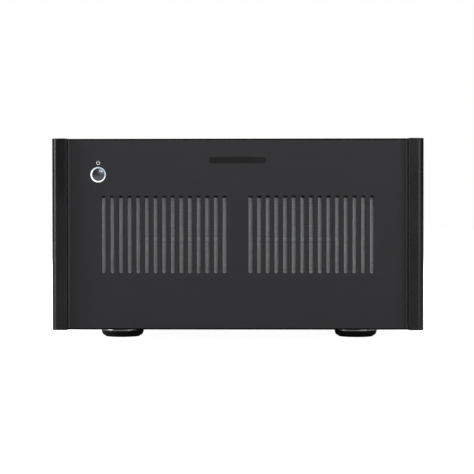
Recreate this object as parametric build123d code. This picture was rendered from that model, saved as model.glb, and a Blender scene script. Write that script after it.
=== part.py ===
from build123d import *
import math
import os

# Stereo power amplifier. Millimetres, +Z up, front facing -Y,
# origin under the middle of the body, on the surface that it stands on.

# overall
body_width = 431.0              # across the two end caps
body_height = 222.3             # end caps, bottom to top
body_depth = 454.0              # end cap crown to the ends of the speaker posts
foot_clearance = 14.7           # floor to the underside of the end caps

# front panel and end caps
cap_width = 17.8
cap_crown = 8.8                 # how far the caps stand in front of the panel
cap_side_round = 7.6            # large round towards the object's side
cap_inner_round = 1.2
cap_overhang = 0.1              # caps stand above and below the panel
cap_end_chamfer = 0.3
cap_skirt_length = 14.0         # skirt that laps the cover's side
cap_skirt_gap = 0.3
panel_thickness = 8.0
panel_joint_gap = 0.2
panel_edge_chamfer = 0.5
subpanel_thickness = 2.0

# ventilation slots in the front panel
slots_per_group = 15
slot_pitch = 10.07
slot_width = 4.8
slot_height = 90.5
slot_middle_height = 110.7      # above the underside of the end caps
slot_chamfer = 0.35
inner_slot_steps = 1.5          # middle of the front to the innermost slot, in pitches
screen_thickness = 1.0
screen_margin = 4.0
screen_bearing = 2.0            # screen lapped by the sub-panel's window

# name inlay, left blank
inlay_length = 67.0
inlay_height = 8.2
inlay_middle_height = 197.3
inlay_thickness = 1.2
inlay_proud = 0.3

# power button
button_offset = 162.2           # left of the middle
button_middle_height = 180.5
button_radius = 7.2
button_travel = 3.0
button_head_length = 14.0
button_recess = 0.2             # button face behind the ring's lip
button_dome_radius = 28.0       # the pressed face is gently domed
button_stem_radius = 2.5
ring_outer_radius = 8.9
ring_inner_radius = 7.5
ring_proud = 0.6
ring_length = 17.0
guide_radius = 12.0
guide_flange_radius = 14.0
guide_flange_thickness = 2.0
guide_length = 19.0
guide_wall = 2.0
running_clearance = 0.06
spring_radius = 4.3
spring_wire_radius = 0.4
spring_turns = 5
spring_end_gap = 0.1
switch_width = 34.0
switch_height = 18.0
switch_depth = 22.0
switch_gap = 15.0               # guide's back to the switch's face
switch_bore_radius = 3.0
switch_bore_depth = 10.0
switch_bottom_gap = 1.0         # pressed stem short of the bore's end
bracket_arm_thickness = 2.0

# steel case
cover_side_step = 3.5           # end caps stand out past the cover on each side
cover_thickness = 1.5
cover_lip = 12.0
floor_thickness = 2.0
floor_raise = 2.8               # tray underside above the underside of the end caps
tray_lip = 12.0
tray_lip_thickness = 2.0
rear_thickness = 2.0
post_projection = 24.0          # speaker posts behind the rear panel
vent_width = 4.0
vent_length = 36.0
vent_pitch = 12.0
vent_rows = 2
vent_row_gap = 8.0
floor_vent_length = 30.0

# feet
foot_radius = 25.5
foot_bottom_radius = 24.4
foot_top_radius = 24.0
foot_spacing = 286.0            # across the front pair
foot_front_setback = 105.0      # front of the caps to the front pair
foot_rear_setback = 60.0        # rear panel to the rear pair
foot_pad_radius = 21.0
foot_pad_height = 2.0
foot_pad_seat = 0.8
trim_height = 3.0
trim_drop = 7.5                 # tray underside to the top of the trim ring
trim_depth = 1.2
foot_screw_radius = 3.0
foot_screw_head_radius = 6.0
foot_screw_head_height = 4.0
foot_screw_recess = 7.0
foot_nut_radius = 5.8
foot_nut_height = 5.0
foot_screw_clearance = 0.3
foot_toe_chamfer = 1.5
foot_side_bulge = 0.8
foot_rim_step = 0.3
trim_proud = 0.2
trim_round = 0.8
foot_pad_gap = 0.1
foot_screw_tail = 2.0
thread_gap = 0.05               # nuts on their threads

# transformers
transformer_radius = 68.0
transformer_bore_radius = 17.0
transformer_height = 92.0
transformer_round = 16.0
transformer_spacing = 140.0
transformer_front_gap = 24.0
transformer_pad_thickness = 3.0
clamp_radius = 52.0
clamp_thickness = 2.5
transformer_bolt_radius = 4.0
transformer_bolt_tail = 14.0
transformer_nut_radius = 7.5
transformer_nut_height = 6.5
bolt_clearance = 0.3

# supply
capacitor_radius = 32.5
capacitor_height = 105.0
capacitor_spacing = 72.0
capacitor_count = 4
capacitor_gap = 10.0
capacitor_rim = 1.5
board_thickness = 1.6
spacer_height = 8.0
spacer_radius = 3.0
spacer_inset = 6.0              # board's edge to the spacer's middle
amp_spacer_inset = 8.0
supply_board_width = 284.0
supply_board_length = 128.0
supply_board_margin = 38.0      # board in front of the capacitors' middle
rectifier_size = 29.0
rectifier_height = 11.0
rectifier_offset = 60.0
rectifier_setback = 62.0
rectifier_corner = 4.0
rectifier_hole_radius = 2.6
mains_board_width = 110.0
mains_board_length = 78.0
mains_board_side = 30.0         # middle of the case to its near edge
mains_board_gap = 12.0
relay_width = 28.0
relay_depth = 13.0
relay_height = 26.0
choke_radius = 9.0
choke_height = 8.0

# heat sinks and amplifier boards
sink_wall_gap = 4.5
sink_fin_depth = 38.0
sink_base_thickness = 10.0
sink_height = 154.0
sink_length = 360.0
sink_front_gap = 17.0
fin_thickness = 2.5
fin_pitch = 12.0
amp_board_height = 120.0
amp_board_raise = 26.0
amp_board_length = 330.0
amp_board_standoff = 13.4
transistor_count = 6
transistor_pitch = 50.0
transistor_width = 20.0
transistor_height = 26.0
transistor_thickness = 5.0
transistor_raise = 60.0
transistor_leg = 1.2
transistor_leg_pitch = 5.45
transistor_leg_rise = 2.0

# rear sockets and switches
input_depth = 24.0              # rear panel's inner face to the input board
input_board_width = 176.0
input_board_height = 104.0
input_board_raise = 88.8
socket_row_height = 165.3
balanced_offset = 58.0
balanced_flange_width = 26.0
balanced_flange_height = 31.0
balanced_flange_thickness = 2.0
balanced_body_radius = 12.8
balanced_mouth_radius = 9.3
balanced_mouth_drop = 1.2
balanced_insert_radius = 7.1
balanced_mouth_depth = 14.0
balanced_contact_radius = 1.3
balanced_contact_circle = 4.0
balanced_contact_depth = 10.0
balanced_corner = 3.0
connector_screw_inset = 3.4     # flange's edge to the screw's middle
latch_width = 6.0
latch_height = 2.4
latch_length = 8.0
latch_rise = 10.3
latch_proud = 2.4
latch_travel = 1.6
latch_round = 0.5
moving_gap = 0.35
phono_offset = 18.0
phono_radius = 4.15
phono_projection = 9.5
phono_flange_radius = 6.5
phono_flange_thickness = 1.5
phono_bore_radius = 1.6
phono_bore_depth = 9.0
phono_block = 13.0
socket_lip_chamfer = 0.4
trigger_row_height = 105.3
trigger_positions = (-62.0, -40.0)
trigger_bush_radius = 4.0
trigger_projection = 2.0
trigger_bore_radius = 1.8
trigger_bore_depth = 14.0
trigger_block = 11.0
panel_hole_clearance = 0.2
switch_row_height = 135.3
mode_switch_offset = 48.0
slide_block_width = 22.0
slide_block_height = 10.0
slide_cavity_depth = 6.0
slide_knob_width = 4.0
slide_knob_height = 3.4
slide_knob_projection = 3.0
slide_knob_chamfer = 0.5
input_switch_travel = 4.0
mode_switch_travel = 7.0

# speaker posts
post_row_height = 65.3
post_side_inset = 42.5          # case's side to the outer posts
post_pair_spacing = 32.0
post_base_radius = 11.0
post_base_thickness = 3.0
post_boss_radius = 6.0
post_inner_washer = 2.5
post_stud_radius = 4.0
post_stud_setback = 2.0         # stud's end inside the cap's mouth
post_stud_tail = 15.0
post_nut_radius = 7.0
post_nut_height = 4.0
banana_radius = 2.05
banana_depth = 17.0
collar_radius = 7.6
collar_thickness = 2.6
cap_outer_radius = 9.2
cap_flute_radius = 1.3
cap_flutes = 16
flute_stand_off = 0.5           # middle of a flute outside the cap's side
flute_setback = 2.0
collar_chamfer = 0.4
post_base_round = 0.8
post_cap_round = 1.4
post_washer_step = 2.0          # inner washer's edge inside the base's edge

# wiring
wire_radius = 1.6
wire_spacing = 8.0
lead_run = 16.0                 # straight run out of a stud or a board
lead_step = 12.0
switch_lead_column = 120.0      # middle of the case to the switch leads' rise
switch_lead_setback = 10.0

# mains inlet
inlet_height = 45.3
inlet_flange_width = 50.0
inlet_flange_height = 24.0
inlet_flange_thickness = 2.5
inlet_body_width = 28.0
inlet_body_height = 20.0
inlet_body_depth = 20.0
inlet_cavity_width = 24.6
inlet_cavity_height = 16.6
inlet_cavity_depth = 17.0
inlet_pin_spacing = 14.0
inlet_pin_length = 14.0
inlet_pin_width = 2.0
inlet_pin_height = 4.0
inlet_pin_drop = 2.0
inlet_screw_spacing = 40.0
inlet_flange_corner = 5.0
inlet_cavity_corner = 4.0

# case screws, M4, and connector screws, M3
screw_radius = 2.0
screw_head_radius = 3.9
screw_head_height = 2.2
screw_length = 5.5
screw_clearance = 0.15
side_screw_rise = 9.0
side_screw_positions = (-150.0, 0.0, 150.0)
rear_screw_positions = (-192.0, -64.0, 64.0, 192.0)
rear_screw_inset = 6.5
front_screw_positions = (-188.0, 0.0, 188.0)
front_screw_inset = 12.0
cap_screw_heights = (26.0, 110.0, 196.0)
small_screw_radius = 1.5
small_screw_head_radius = 2.7
small_screw_head_height = 1.4
small_screw_length = 9.0

# places worked out from the sizes above
front = -body_depth / 2
panel_front = front + cap_crown
panel_rear = panel_front + panel_thickness
subpanel_rear = panel_rear + subpanel_thickness
case_rear = body_depth / 2 - post_projection
rear_inner = case_rear - rear_thickness
cap_bottom = foot_clearance
cap_top = foot_clearance + body_height
panel_bottom = cap_bottom + cap_overhang
panel_top = cap_top - cap_overhang
panel_half = body_width / 2 - cap_width - panel_joint_gap
floor_under = cap_bottom + floor_raise
floor_top = floor_under + floor_thickness
cover_top = panel_top
cover_under = cover_top - cover_thickness
cover_half = body_width / 2 - cover_side_step
case_half = cover_half - cover_thickness
button_x = -button_offset
button_z = cap_bottom + button_middle_height
slot_middle_z = cap_bottom + slot_middle_height
slot_group_inner = inner_slot_steps * slot_pitch
slot_group_outer = slot_group_inner + (slots_per_group - 1) * slot_pitch
slot_group_middle = (slot_group_inner + slot_group_outer) / 2
screen_width = slot_group_outer - slot_group_inner + slot_width + 2 * screen_margin
screen_height = slot_height + 2 * screen_margin
guide_rear = subpanel_rear + guide_length
switch_front = guide_rear + switch_gap
foot_places = {
    "front_left": (-foot_spacing / 2, front + foot_front_setback),
    "front_right": (foot_spacing / 2, front + foot_front_setback),
    "rear_left": (-foot_spacing / 2, case_rear - foot_rear_setback),
    "rear_right": (foot_spacing / 2, case_rear - foot_rear_setback),
}
transformer_y = subpanel_rear + transformer_front_gap + transformer_radius
transformer_bottom = floor_top + transformer_pad_thickness
transformer_top = transformer_bottom + transformer_height
clamp_bottom = transformer_top + transformer_pad_thickness
clamp_top = clamp_bottom + clamp_thickness
capacitor_y = transformer_y + transformer_radius + capacitor_gap + capacitor_radius
board_bottom = floor_top + spacer_height
board_top = board_bottom + board_thickness
supply_board_front = capacitor_y - supply_board_margin
supply_board_rear = supply_board_front + supply_board_length
mains_board_front = supply_board_rear + mains_board_gap
mains_board_rear = mains_board_front + mains_board_length
sink_face = case_half - sink_wall_gap - sink_fin_depth - sink_base_thickness
sink_front = subpanel_rear + sink_front_gap
sink_rear = sink_front + sink_length
sink_top = floor_top + sink_height
amp_board_outer = sink_face - amp_board_standoff
amp_board_inner = amp_board_outer - board_thickness
amp_board_front = (sink_front + sink_rear - amp_board_length) / 2
amp_board_rear = amp_board_front + amp_board_length
amp_board_bottom = floor_top + amp_board_raise
amp_board_top = amp_board_bottom + amp_board_height
transistor_bottom = amp_board_bottom + transistor_raise
input_board_rear = rear_inner - input_depth
input_board_front = input_board_rear - board_thickness
input_board_bottom = cap_bottom + input_board_raise
input_board_top = input_board_bottom + input_board_height
socket_row_z = cap_bottom + socket_row_height
trigger_row_z = cap_bottom + trigger_row_height
switch_row_z = cap_bottom + switch_row_height
post_z = cap_bottom + post_row_height
post_outer_offset = case_half - post_side_inset
post_inner_offset = post_outer_offset - post_pair_spacing
post_xs = (-post_outer_offset, -post_inner_offset, post_inner_offset, post_outer_offset)
post_base_rear = case_rear + post_base_thickness
collar_front = post_base_rear + moving_gap
collar_rear = collar_front + collar_thickness
cap_front = collar_rear + moving_gap
cap_end = body_depth / 2
stud_end = cap_end - post_stud_setback
inlet_z = cap_bottom + inlet_height


def block(x0, x1, y0, y1, z0, z1):
    middle = Pos((x0 + x1) / 2, (y0 + y1) / 2, (z0 + z1) / 2)
    return middle * Box(x1 - x0, y1 - y0, z1 - z0)


def rod_x(radius, y, z, x0, x1):
    return Pos((x0 + x1) / 2, y, z) * Rot(0, 90, 0) * Cylinder(radius, x1 - x0)


def rod_y(radius, x, z, y0, y1):
    return Pos(x, (y0 + y1) / 2, z) * Rot(90, 0, 0) * Cylinder(radius, y1 - y0)


def rod_z(radius, x, y, z0, z1):
    return Pos(x, y, (z0 + z1) / 2) * Cylinder(radius, z1 - z0)


def upright_slot(x, z, width, height, y0, y1):
    # a round-ended slot standing along Z, cut through from y0 to y1
    outline = SlotOverall(height, width, rotation=90)
    depth = (y1 - y0) / 2
    return Pos(x, (y0 + y1) / 2, z) * Rot(90, 0, 0) * extrude(outline, amount=depth, both=True)


def flat_slot(x, y, width, length, z0, z1):
    # a round-ended slot lying along X, cut through from z0 to z1
    outline = SlotOverall(length, width)
    depth = (z1 - z0) / 2
    return Pos(x, y, (z0 + z1) / 2) * extrude(outline, amount=depth, both=True)


def hex_nut(radius, hole_radius, height):
    outline = RegularPolygon(radius, 6)
    return extrude(outline, amount=height) - Pos(0, 0, height / 2) * Cylinder(hole_radius, 2 * height)


def screw(radius, head_radius, head_height, length):
    # axis along Z, head above Z = 0, shank below, with a cross recess in the head
    head = Pos(0, 0, head_height / 2) * Cylinder(head_radius, head_height)
    head = fillet(head.edges().sort_by(Axis.Z)[-1], head_height * 0.6)
    recess = Box(head_radius, radius * 0.35, head_height) + Box(radius * 0.35, head_radius, head_height)
    shank = Pos(0, 0, -length / 2) * Cylinder(radius, length)
    return head + shank - Pos(0, 0, head_height) * recess


def group(solids):
    return Compound(children=list(solids))


def slot_places(side):
    # middles of one group's slots, from the innermost outwards
    return [side * (slot_group_inner + step * slot_pitch) for step in range(slots_per_group)]


def make_front_panel():
    panel = block(-panel_half, panel_half, panel_front, panel_rear, panel_bottom, panel_top)
    panel = chamfer(panel.faces().sort_by(Axis.Y)[0].edges(), panel_edge_chamfer)
    through = panel_rear + 1
    cuts = []
    for side in (-1, 1):
        for x in slot_places(side):
            cuts.append(upright_slot(x, slot_middle_z, slot_width, slot_height, panel_front - 1, through))
    panel = panel - cuts
    rims = [wire.edges() for wire in panel.faces().sort_by(Axis.Y)[0].inner_wires()]
    panel = chamfer([edge for rim in rims for edge in rim], slot_chamfer)
    pockets = []
    for side in (-1, 1):
        middle = side * slot_group_middle
        pockets.append(block(
            middle - screen_width / 2, middle + screen_width / 2,
            panel_rear - screen_thickness, through,
            slot_middle_z - screen_height / 2, slot_middle_z + screen_height / 2,
        ))
    inlay_seat = panel_front + inlay_thickness - inlay_proud
    pockets.append(inlay_shape(panel_front - 1, inlay_seat))
    pockets.append(rod_y(ring_outer_radius, button_x, button_z, panel_front - 1, through))
    for x, z in front_screw_places() + cap_screw_places():
        pockets.append(rod_y(screw_radius + screw_clearance, x, z, panel_rear - screw_length, through))
    return panel - pockets


def inlay_shape(y0, y1):
    outline = SlotOverall(inlay_length, inlay_height)
    depth = (y1 - y0) / 2
    place = Pos(0, (y0 + y1) / 2, cap_bottom + inlay_middle_height) * Rot(90, 0, 0)
    return place * extrude(outline, amount=depth, both=True)


def make_name_inlay():
    inlay_front = panel_front - inlay_proud
    inlay = inlay_shape(inlay_front, inlay_front + inlay_thickness)
    return chamfer(inlay.faces().sort_by(Axis.Y)[0].edges(), inlay_proud * 0.6)


def make_screen(side):
    middle = side * slot_group_middle
    return block(
        middle - screen_width / 2, middle + screen_width / 2,
        panel_rear - screen_thickness, panel_rear,
        slot_middle_z - screen_height / 2, slot_middle_z + screen_height / 2,
    )


def make_end_cap(side):
    inner = body_width / 2 - cap_width
    outer = body_width / 2
    skirt_inner = cover_half + cap_skirt_gap
    skirt_rear = panel_rear + cap_skirt_length
    outline = Polyline(
        (inner, front), (outer, front), (outer, skirt_rear), (skirt_inner, skirt_rear),
        (skirt_inner, panel_rear), (inner, panel_rear), (inner, front),
    )
    section = make_face(outline)
    front_corners = section.vertices().sort_by(Axis.Y)[:2].sort_by(Axis.X)
    section = fillet(front_corners[0], cap_inner_round)
    section = fillet(section.vertices().sort_by(Axis.Y)[:2].sort_by(Axis.X)[-1], cap_side_round)
    column = Pos(0, 0, cap_bottom) * extrude(section, amount=body_height)
    ends = column.faces().filter_by(Axis.Z)
    column = chamfer([edge for end in ends for edge in end.edges()], cap_end_chamfer)
    if side < 0:
        column = mirror(column, Plane.YZ)
    holes = [
        rod_y(screw_radius + screw_clearance, x, z, panel_rear - screw_length, panel_rear + 1)
        for x, z in cap_screw_places() if x * side > 0
    ]
    return column - holes


def cap_screw_places():
    x = body_width / 2 - cap_width + (case_half - body_width / 2 + cap_width) / 2
    return [(side * x, cap_bottom + height) for side in (-1, 1) for height in cap_screw_heights]


def front_screw_places():
    heights = (panel_bottom + front_screw_inset, panel_top - front_screw_inset)
    return [(x, z) for x in front_screw_positions for z in heights]


def make_subpanel():
    plate = block(-case_half, case_half, panel_rear, subpanel_rear, floor_top, cover_under)
    cuts = []
    for side in (-1, 1):
        middle = side * slot_group_middle
        half_width = screen_width / 2 - screen_bearing
        half_height = screen_height / 2 - screen_bearing
        cuts.append(block(
            middle - half_width, middle + half_width, panel_rear - 1, subpanel_rear + 1,
            slot_middle_z - half_height, slot_middle_z + half_height,
        ))
    cuts.append(rod_y(ring_outer_radius, button_x, button_z, panel_rear - 1, subpanel_rear + 1))
    for x, z in front_screw_places() + cap_screw_places():
        cuts.append(rod_y(screw_radius + screw_clearance, x, z, panel_rear - 1, subpanel_rear + 1))
    return plate - cuts


def make_light_ring():
    y0 = panel_front - ring_proud
    y1 = y0 + ring_length
    ring = rod_y(ring_outer_radius, button_x, button_z, y0, y1)
    ring = ring - rod_y(ring_inner_radius, button_x, button_z, y0 - 1, y1 + 1)
    return fillet(ring.faces().sort_by(Axis.Y)[0].edges(), ring_proud * 0.6)


def make_button():
    y0 = panel_front - ring_proud + button_recess
    y1 = y0 + button_head_length
    tip = switch_front + switch_bore_depth - button_travel - switch_bottom_gap
    head = rod_y(button_radius, button_x, button_z, y0, y1)
    dome = Pos(button_x, y0 + button_dome_radius, button_z) * Sphere(button_dome_radius)
    stem = rod_y(button_stem_radius, button_x, button_z, y1, tip)
    return (head & dome) + stem


def make_button_guide():
    flange_rear = subpanel_rear + guide_flange_thickness
    guide = rod_y(guide_flange_radius, button_x, button_z, subpanel_rear, flange_rear)
    guide = guide + rod_y(guide_radius, button_x, button_z, subpanel_rear, guide_rear)
    wall_front = guide_rear - guide_wall
    guide = guide - rod_y(ring_outer_radius, button_x, button_z, subpanel_rear - 1, wall_front)
    stem_hole = button_stem_radius + running_clearance
    return guide - rod_y(stem_hole, button_x, button_z, wall_front - 1, guide_rear + 1)


def make_button_spring():
    head_rear = panel_front - ring_proud + button_recess + button_head_length
    y0 = head_rear + spring_wire_radius + spring_end_gap
    y1 = guide_rear - guide_wall - spring_wire_radius - spring_end_gap
    path = Helix((y1 - y0) / spring_turns, y1 - y0, spring_radius)
    wire = Plane(path @ 0, z_dir=path % 0) * Circle(spring_wire_radius)
    spring = sweep(wire, path=path, is_frenet=True)
    return Pos(button_x, y0, button_z) * Rot(-90, 0, 0) * spring


def make_power_switch():
    switch_rear = switch_front + switch_depth
    half_width = switch_width / 2
    half_height = switch_height / 2
    body = block(
        button_x - half_width, button_x + half_width, switch_front, switch_rear,
        button_z - half_height, button_z + half_height,
    )
    for side in (-1, 1):
        inner = button_x + side * half_width
        outer = inner + side * bracket_arm_thickness
        body = body + block(
            min(inner, outer), max(inner, outer), subpanel_rear, switch_rear,
            button_z - half_height, button_z + half_height,
        )
    return body - rod_y(
        switch_bore_radius, button_x, button_z, switch_front - 1, switch_front + switch_bore_depth)


def make_chassis_base():
    tray = block(-case_half, case_half, panel_rear, case_rear, floor_under, floor_top)
    lip_top = floor_top + tray_lip
    for side in (-1, 1):
        outer = side * case_half
        inner = outer - side * tray_lip_thickness
        tray = tray + block(
            min(inner, outer), max(inner, outer), subpanel_rear, rear_inner, floor_top, lip_top)
    tray = tray + block(
        -case_half, case_half, rear_inner - tray_lip_thickness, rear_inner, floor_top, lip_top)
    cuts = []
    for side in (-1, 1):
        x = side * (case_half - sink_wall_gap - sink_fin_depth / 2)
        for y in vent_places():
            cuts.append(flat_slot(x, y, vent_width, floor_vent_length, floor_under - 1, floor_top + 1))
    for x, y in foot_places.values():
        cuts.append(rod_z(foot_screw_radius + foot_screw_clearance, x, y, floor_under - 1, floor_top + 1))
    hole = screw_radius + screw_clearance
    for x, y, z in side_screw_places():
        cuts.append(rod_x(hole, y, z, min(x, 0.9 * x), max(x, 0.9 * x)))
    for x, z in rear_screw_places():
        cuts.append(rod_y(hole, x, z, rear_inner - screw_length, case_rear + 1))
    return tray - cuts


def vent_places():
    # one vent between every pair of heat sink fins, clear of the fins
    count = int(sink_length / vent_pitch) - 1
    return [sink_front + fin_thickness / 2 + fin_pitch * (step + 0.5) for step in range(count)]


def side_screw_places():
    z = floor_top + side_screw_rise
    return [(side * cover_half, y, z) for side in (-1, 1) for y in side_screw_positions]


def rear_screw_places():
    heights = (floor_top + rear_screw_inset, cover_under - rear_screw_inset)
    return [(x, z) for x in rear_screw_positions for z in heights]


def make_top_cover():
    cover = block(-cover_half, cover_half, panel_rear, case_rear, cover_under, cover_top)
    for side in (-1, 1):
        outer = side * cover_half
        inner = side * case_half
        cover = cover + block(
            min(inner, outer), max(inner, outer), panel_rear, case_rear, floor_under, cover_under)
    cover = cover + block(
        -case_half, case_half, rear_inner - cover_thickness, rear_inner, cover_under - cover_lip, cover_under)
    cuts = []
    for side in (-1, 1):
        for row in range(vent_rows):
            step = vent_length + vent_row_gap
            x = side * (case_half - sink_wall_gap - sink_fin_depth / 2 - row * step)
            for y in vent_places():
                cuts.append(flat_slot(x, y, vent_width, vent_length, cover_under - 1, cover_top + 1))
    hole = screw_radius + screw_clearance
    for x, y, z in side_screw_places():
        cuts.append(rod_x(hole, y, z, min(1.1 * x, 0.9 * x), max(1.1 * x, 0.9 * x)))
    for x, z in rear_screw_places():
        cuts.append(rod_y(hole, x, z, rear_inner - screw_length, case_rear + 1))
    cover = cover - cuts
    corner = cover.edges().filter_by(Axis.Y).filter_by(
        lambda edge: abs(abs(edge.center().X) - cover_half) < 0.01 and edge.center().Z > cover_top - 0.01)
    return fillet(corner, cover_thickness * 0.8)


def make_rear_panel():
    panel = block(-case_half, case_half, rear_inner, case_rear, floor_top, cover_under)
    y0 = rear_inner - 1
    y1 = case_rear + 1
    gap = panel_hole_clearance
    cuts = []
    for side in (-1, 1):
        cuts.append(rod_y(balanced_body_radius + gap, side * balanced_offset, socket_row_z, y0, y1))
        cuts.append(rod_y(phono_radius + gap, side * phono_offset, socket_row_z, y0, y1))
        for x, z in balanced_screw_places(side):
            cuts.append(rod_y(small_screw_radius + gap, x, z, y0, y1))
    for x in trigger_positions:
        cuts.append(rod_y(trigger_bush_radius + gap, x, trigger_row_z, y0, y1))
    cuts.append(slide_window(0.0, switch_row_z, input_switch_travel, y0, y1))
    cuts.append(slide_window(mode_switch_offset, trigger_row_z, mode_switch_travel, y0, y1))
    for x in post_xs:
        cuts.append(rod_y(post_boss_radius + gap, x, post_z, y0, y1))
    half_width = inlet_body_width / 2 + gap
    half_height = inlet_body_height / 2 + gap
    cuts.append(block(-half_width, half_width, y0, y1, inlet_z - half_height, inlet_z + half_height))
    for x, z in inlet_screw_places():
        cuts.append(rod_y(small_screw_radius + gap, x, z, y0, y1))
    for x, z in rear_screw_places():
        cuts.append(rod_y(screw_radius + screw_clearance, x, z, y0, y1))
    return panel - cuts


def slide_window(x, z, travel, y0, y1):
    # space for a sliding knob that starts at x and moves towards +X
    half_width = slide_knob_width / 2 + moving_gap
    half_height = slide_knob_height / 2 + moving_gap
    return block(x - half_width, x + travel + half_width, y0, y1, z - half_height, z + half_height)


def balanced_screw_places(side):
    x = side * balanced_offset
    half_width = balanced_flange_width / 2 - connector_screw_inset
    half_height = balanced_flange_height / 2 - connector_screw_inset
    return [(x - half_width, socket_row_z + half_height), (x + half_width, socket_row_z - half_height)]


def inlet_screw_places():
    return [(side * inlet_screw_spacing / 2, inlet_z) for side in (-1, 1)]


def make_foot(x, y):
    top = floor_under
    trim_top = top - trim_drop
    trim_bottom = trim_top - trim_height
    bottom = foot_pad_height - foot_pad_seat
    inner = foot_radius - trim_depth
    toe = bottom + foot_toe_chamfer
    side_line = Polyline(
        (0, bottom), (foot_bottom_radius - foot_toe_chamfer, bottom), (foot_bottom_radius, toe))
    belly = (
        (foot_bottom_radius + foot_radius) / 2 + foot_side_bulge,
        (toe + trim_bottom) / 2 - foot_side_bulge / 2)
    flare = ThreePointArc((foot_bottom_radius, toe), belly, (foot_radius, trim_bottom))
    upper = Polyline(
        (foot_radius, trim_bottom), (inner, trim_bottom), (inner, trim_top),
        (foot_radius - foot_rim_step, trim_top), (foot_top_radius, top), (0, top), (0, bottom))
    profile = Plane.XZ * make_face(side_line + flare + upper)
    foot = Pos(x, y, 0) * revolve(profile, Axis.Z)
    foot = foot - rod_z(foot_pad_radius + foot_pad_gap, x, y, 0, foot_pad_height)
    head_seat = foot_screw_recess + foot_screw_head_height
    foot = foot - rod_z(foot_screw_head_radius + foot_screw_clearance, x, y, 0, head_seat)
    return foot - rod_z(foot_screw_radius + foot_screw_clearance, x, y, 0, top + 1)


def make_foot_trims():
    trim_top = floor_under - trim_drop
    rings = []
    for x, y in foot_places.values():
        ring = rod_z(foot_radius + trim_proud, x, y, trim_top - trim_height, trim_top)
        ring = fillet(ring.edges().filter_by(GeomType.CIRCLE), trim_round)
        rings.append(ring - rod_z(foot_radius - trim_depth, x, y, trim_top - trim_height - 1, trim_top + 1))
    return group(rings)


def make_foot_pads():
    pads = []
    for x, y in foot_places.values():
        pad = rod_z(foot_pad_radius, x, y, 0, foot_pad_height)
        pads.append(pad - rod_z(foot_screw_head_radius + foot_screw_clearance, x, y, -1, foot_pad_height + 1))
    return group(pads)


def make_foot_screws():
    head_seat = foot_screw_recess + foot_screw_head_height
    nut_seat = floor_top
    length = nut_seat + foot_nut_height + foot_screw_tail - head_seat
    pieces = []
    for x, y in foot_places.values():
        pieces.append(Pos(x, y, head_seat) * Rot(180, 0, 0) * screw(
            foot_screw_radius, foot_screw_head_radius, foot_screw_head_height, length))
        nut = hex_nut(foot_nut_radius, foot_screw_radius + thread_gap, foot_nut_height)
        pieces.append(Pos(x, y, nut_seat) * nut)
    return group(pieces)


def transformer_x(side):
    return side * transformer_spacing / 2


def make_transformer(side):
    x = transformer_x(side)
    ring = rod_z(transformer_radius, x, transformer_y, transformer_bottom, transformer_top)
    ring = ring - rod_z(
        transformer_bore_radius, x, transformer_y, transformer_bottom - 1, transformer_top + 1)
    return fillet(ring.edges().filter_by(GeomType.CIRCLE), transformer_round)


def make_transformer_pads():
    pads = []
    for side in (-1, 1):
        x = transformer_x(side)
        for z in (floor_top, transformer_top):
            pad = rod_z(clamp_radius, x, transformer_y, z, z + transformer_pad_thickness)
            hole = rod_z(transformer_bore_radius, x, transformer_y, z - 1, z + transformer_pad_thickness + 1)
            pads.append(pad - hole)
    return group(pads)


def make_transformer_clamps():
    clamps = []
    for side in (-1, 1):
        x = transformer_x(side)
        dish = rod_z(clamp_radius, x, transformer_y, clamp_bottom, clamp_top)
        dish = fillet(dish.edges().sort_by(Axis.Z)[-1], clamp_thickness * 0.6)
        clamps.append(dish - rod_z(
            transformer_bolt_radius + bolt_clearance, x, transformer_y, clamp_bottom - 1, clamp_top + 1))
    return group(clamps)


def make_transformer_bolts():
    pieces = []
    for side in (-1, 1):
        x = transformer_x(side)
        pieces.append(rod_z(
            transformer_bolt_radius, x, transformer_y, floor_top, clamp_top + transformer_bolt_tail))
        nut = hex_nut(transformer_nut_radius, transformer_bolt_radius + thread_gap, transformer_nut_height)
        pieces.append(Pos(x, transformer_y, clamp_top) * nut)
    return group(pieces)


def capacitor_places():
    first = -capacitor_spacing * (capacitor_count - 1) / 2
    return [(first + step * capacitor_spacing, capacitor_y) for step in range(capacitor_count)]


def make_capacitors():
    cans = []
    for x, y in capacitor_places():
        can = rod_z(capacitor_radius, x, y, board_top, board_top + capacitor_height)
        can = fillet(can.edges().sort_by(Axis.Z)[-1], capacitor_rim)
        cans.append(can - rod_z(
            capacitor_radius - 2 * capacitor_rim, x, y,
            board_top + capacitor_height - capacitor_rim, board_top + capacitor_height + 1))
    return group(cans)


def make_supply_board():
    half = supply_board_width / 2
    return block(-half, half, supply_board_front, supply_board_rear, board_bottom, board_top)


def make_rectifiers():
    blocks = []
    half = rectifier_size / 2
    y = capacitor_y + rectifier_setback
    for side in (-1, 1):
        x = side * rectifier_offset
        body = block(x - half, x + half, y - half, y + half, board_top, board_top + rectifier_height)
        body = chamfer(body.edges().filter_by(Axis.Z).sort_by(Axis.X)[0], rectifier_corner)
        blocks.append(body - rod_z(
            rectifier_hole_radius, x, y, board_top - 1, board_top + rectifier_height + 1))
    return group(blocks)


def make_mains_board():
    x1 = -mains_board_side
    x0 = x1 - mains_board_width
    board = block(x0, x1, mains_board_front, mains_board_rear, board_bottom, board_top)
    for step in (1, 2):
        x = x0 + step * mains_board_width / 3
        y = mains_board_front + mains_board_length / 3
        board = board + block(
            x - relay_width / 2, x + relay_width / 2, y - relay_depth / 2, y + relay_depth / 2,
            board_top, board_top + relay_height)
        y = mains_board_front + mains_board_length * 2 / 3
        board = board + rod_z(choke_radius, x, y, board_top, board_top + choke_height)
    return board


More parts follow.
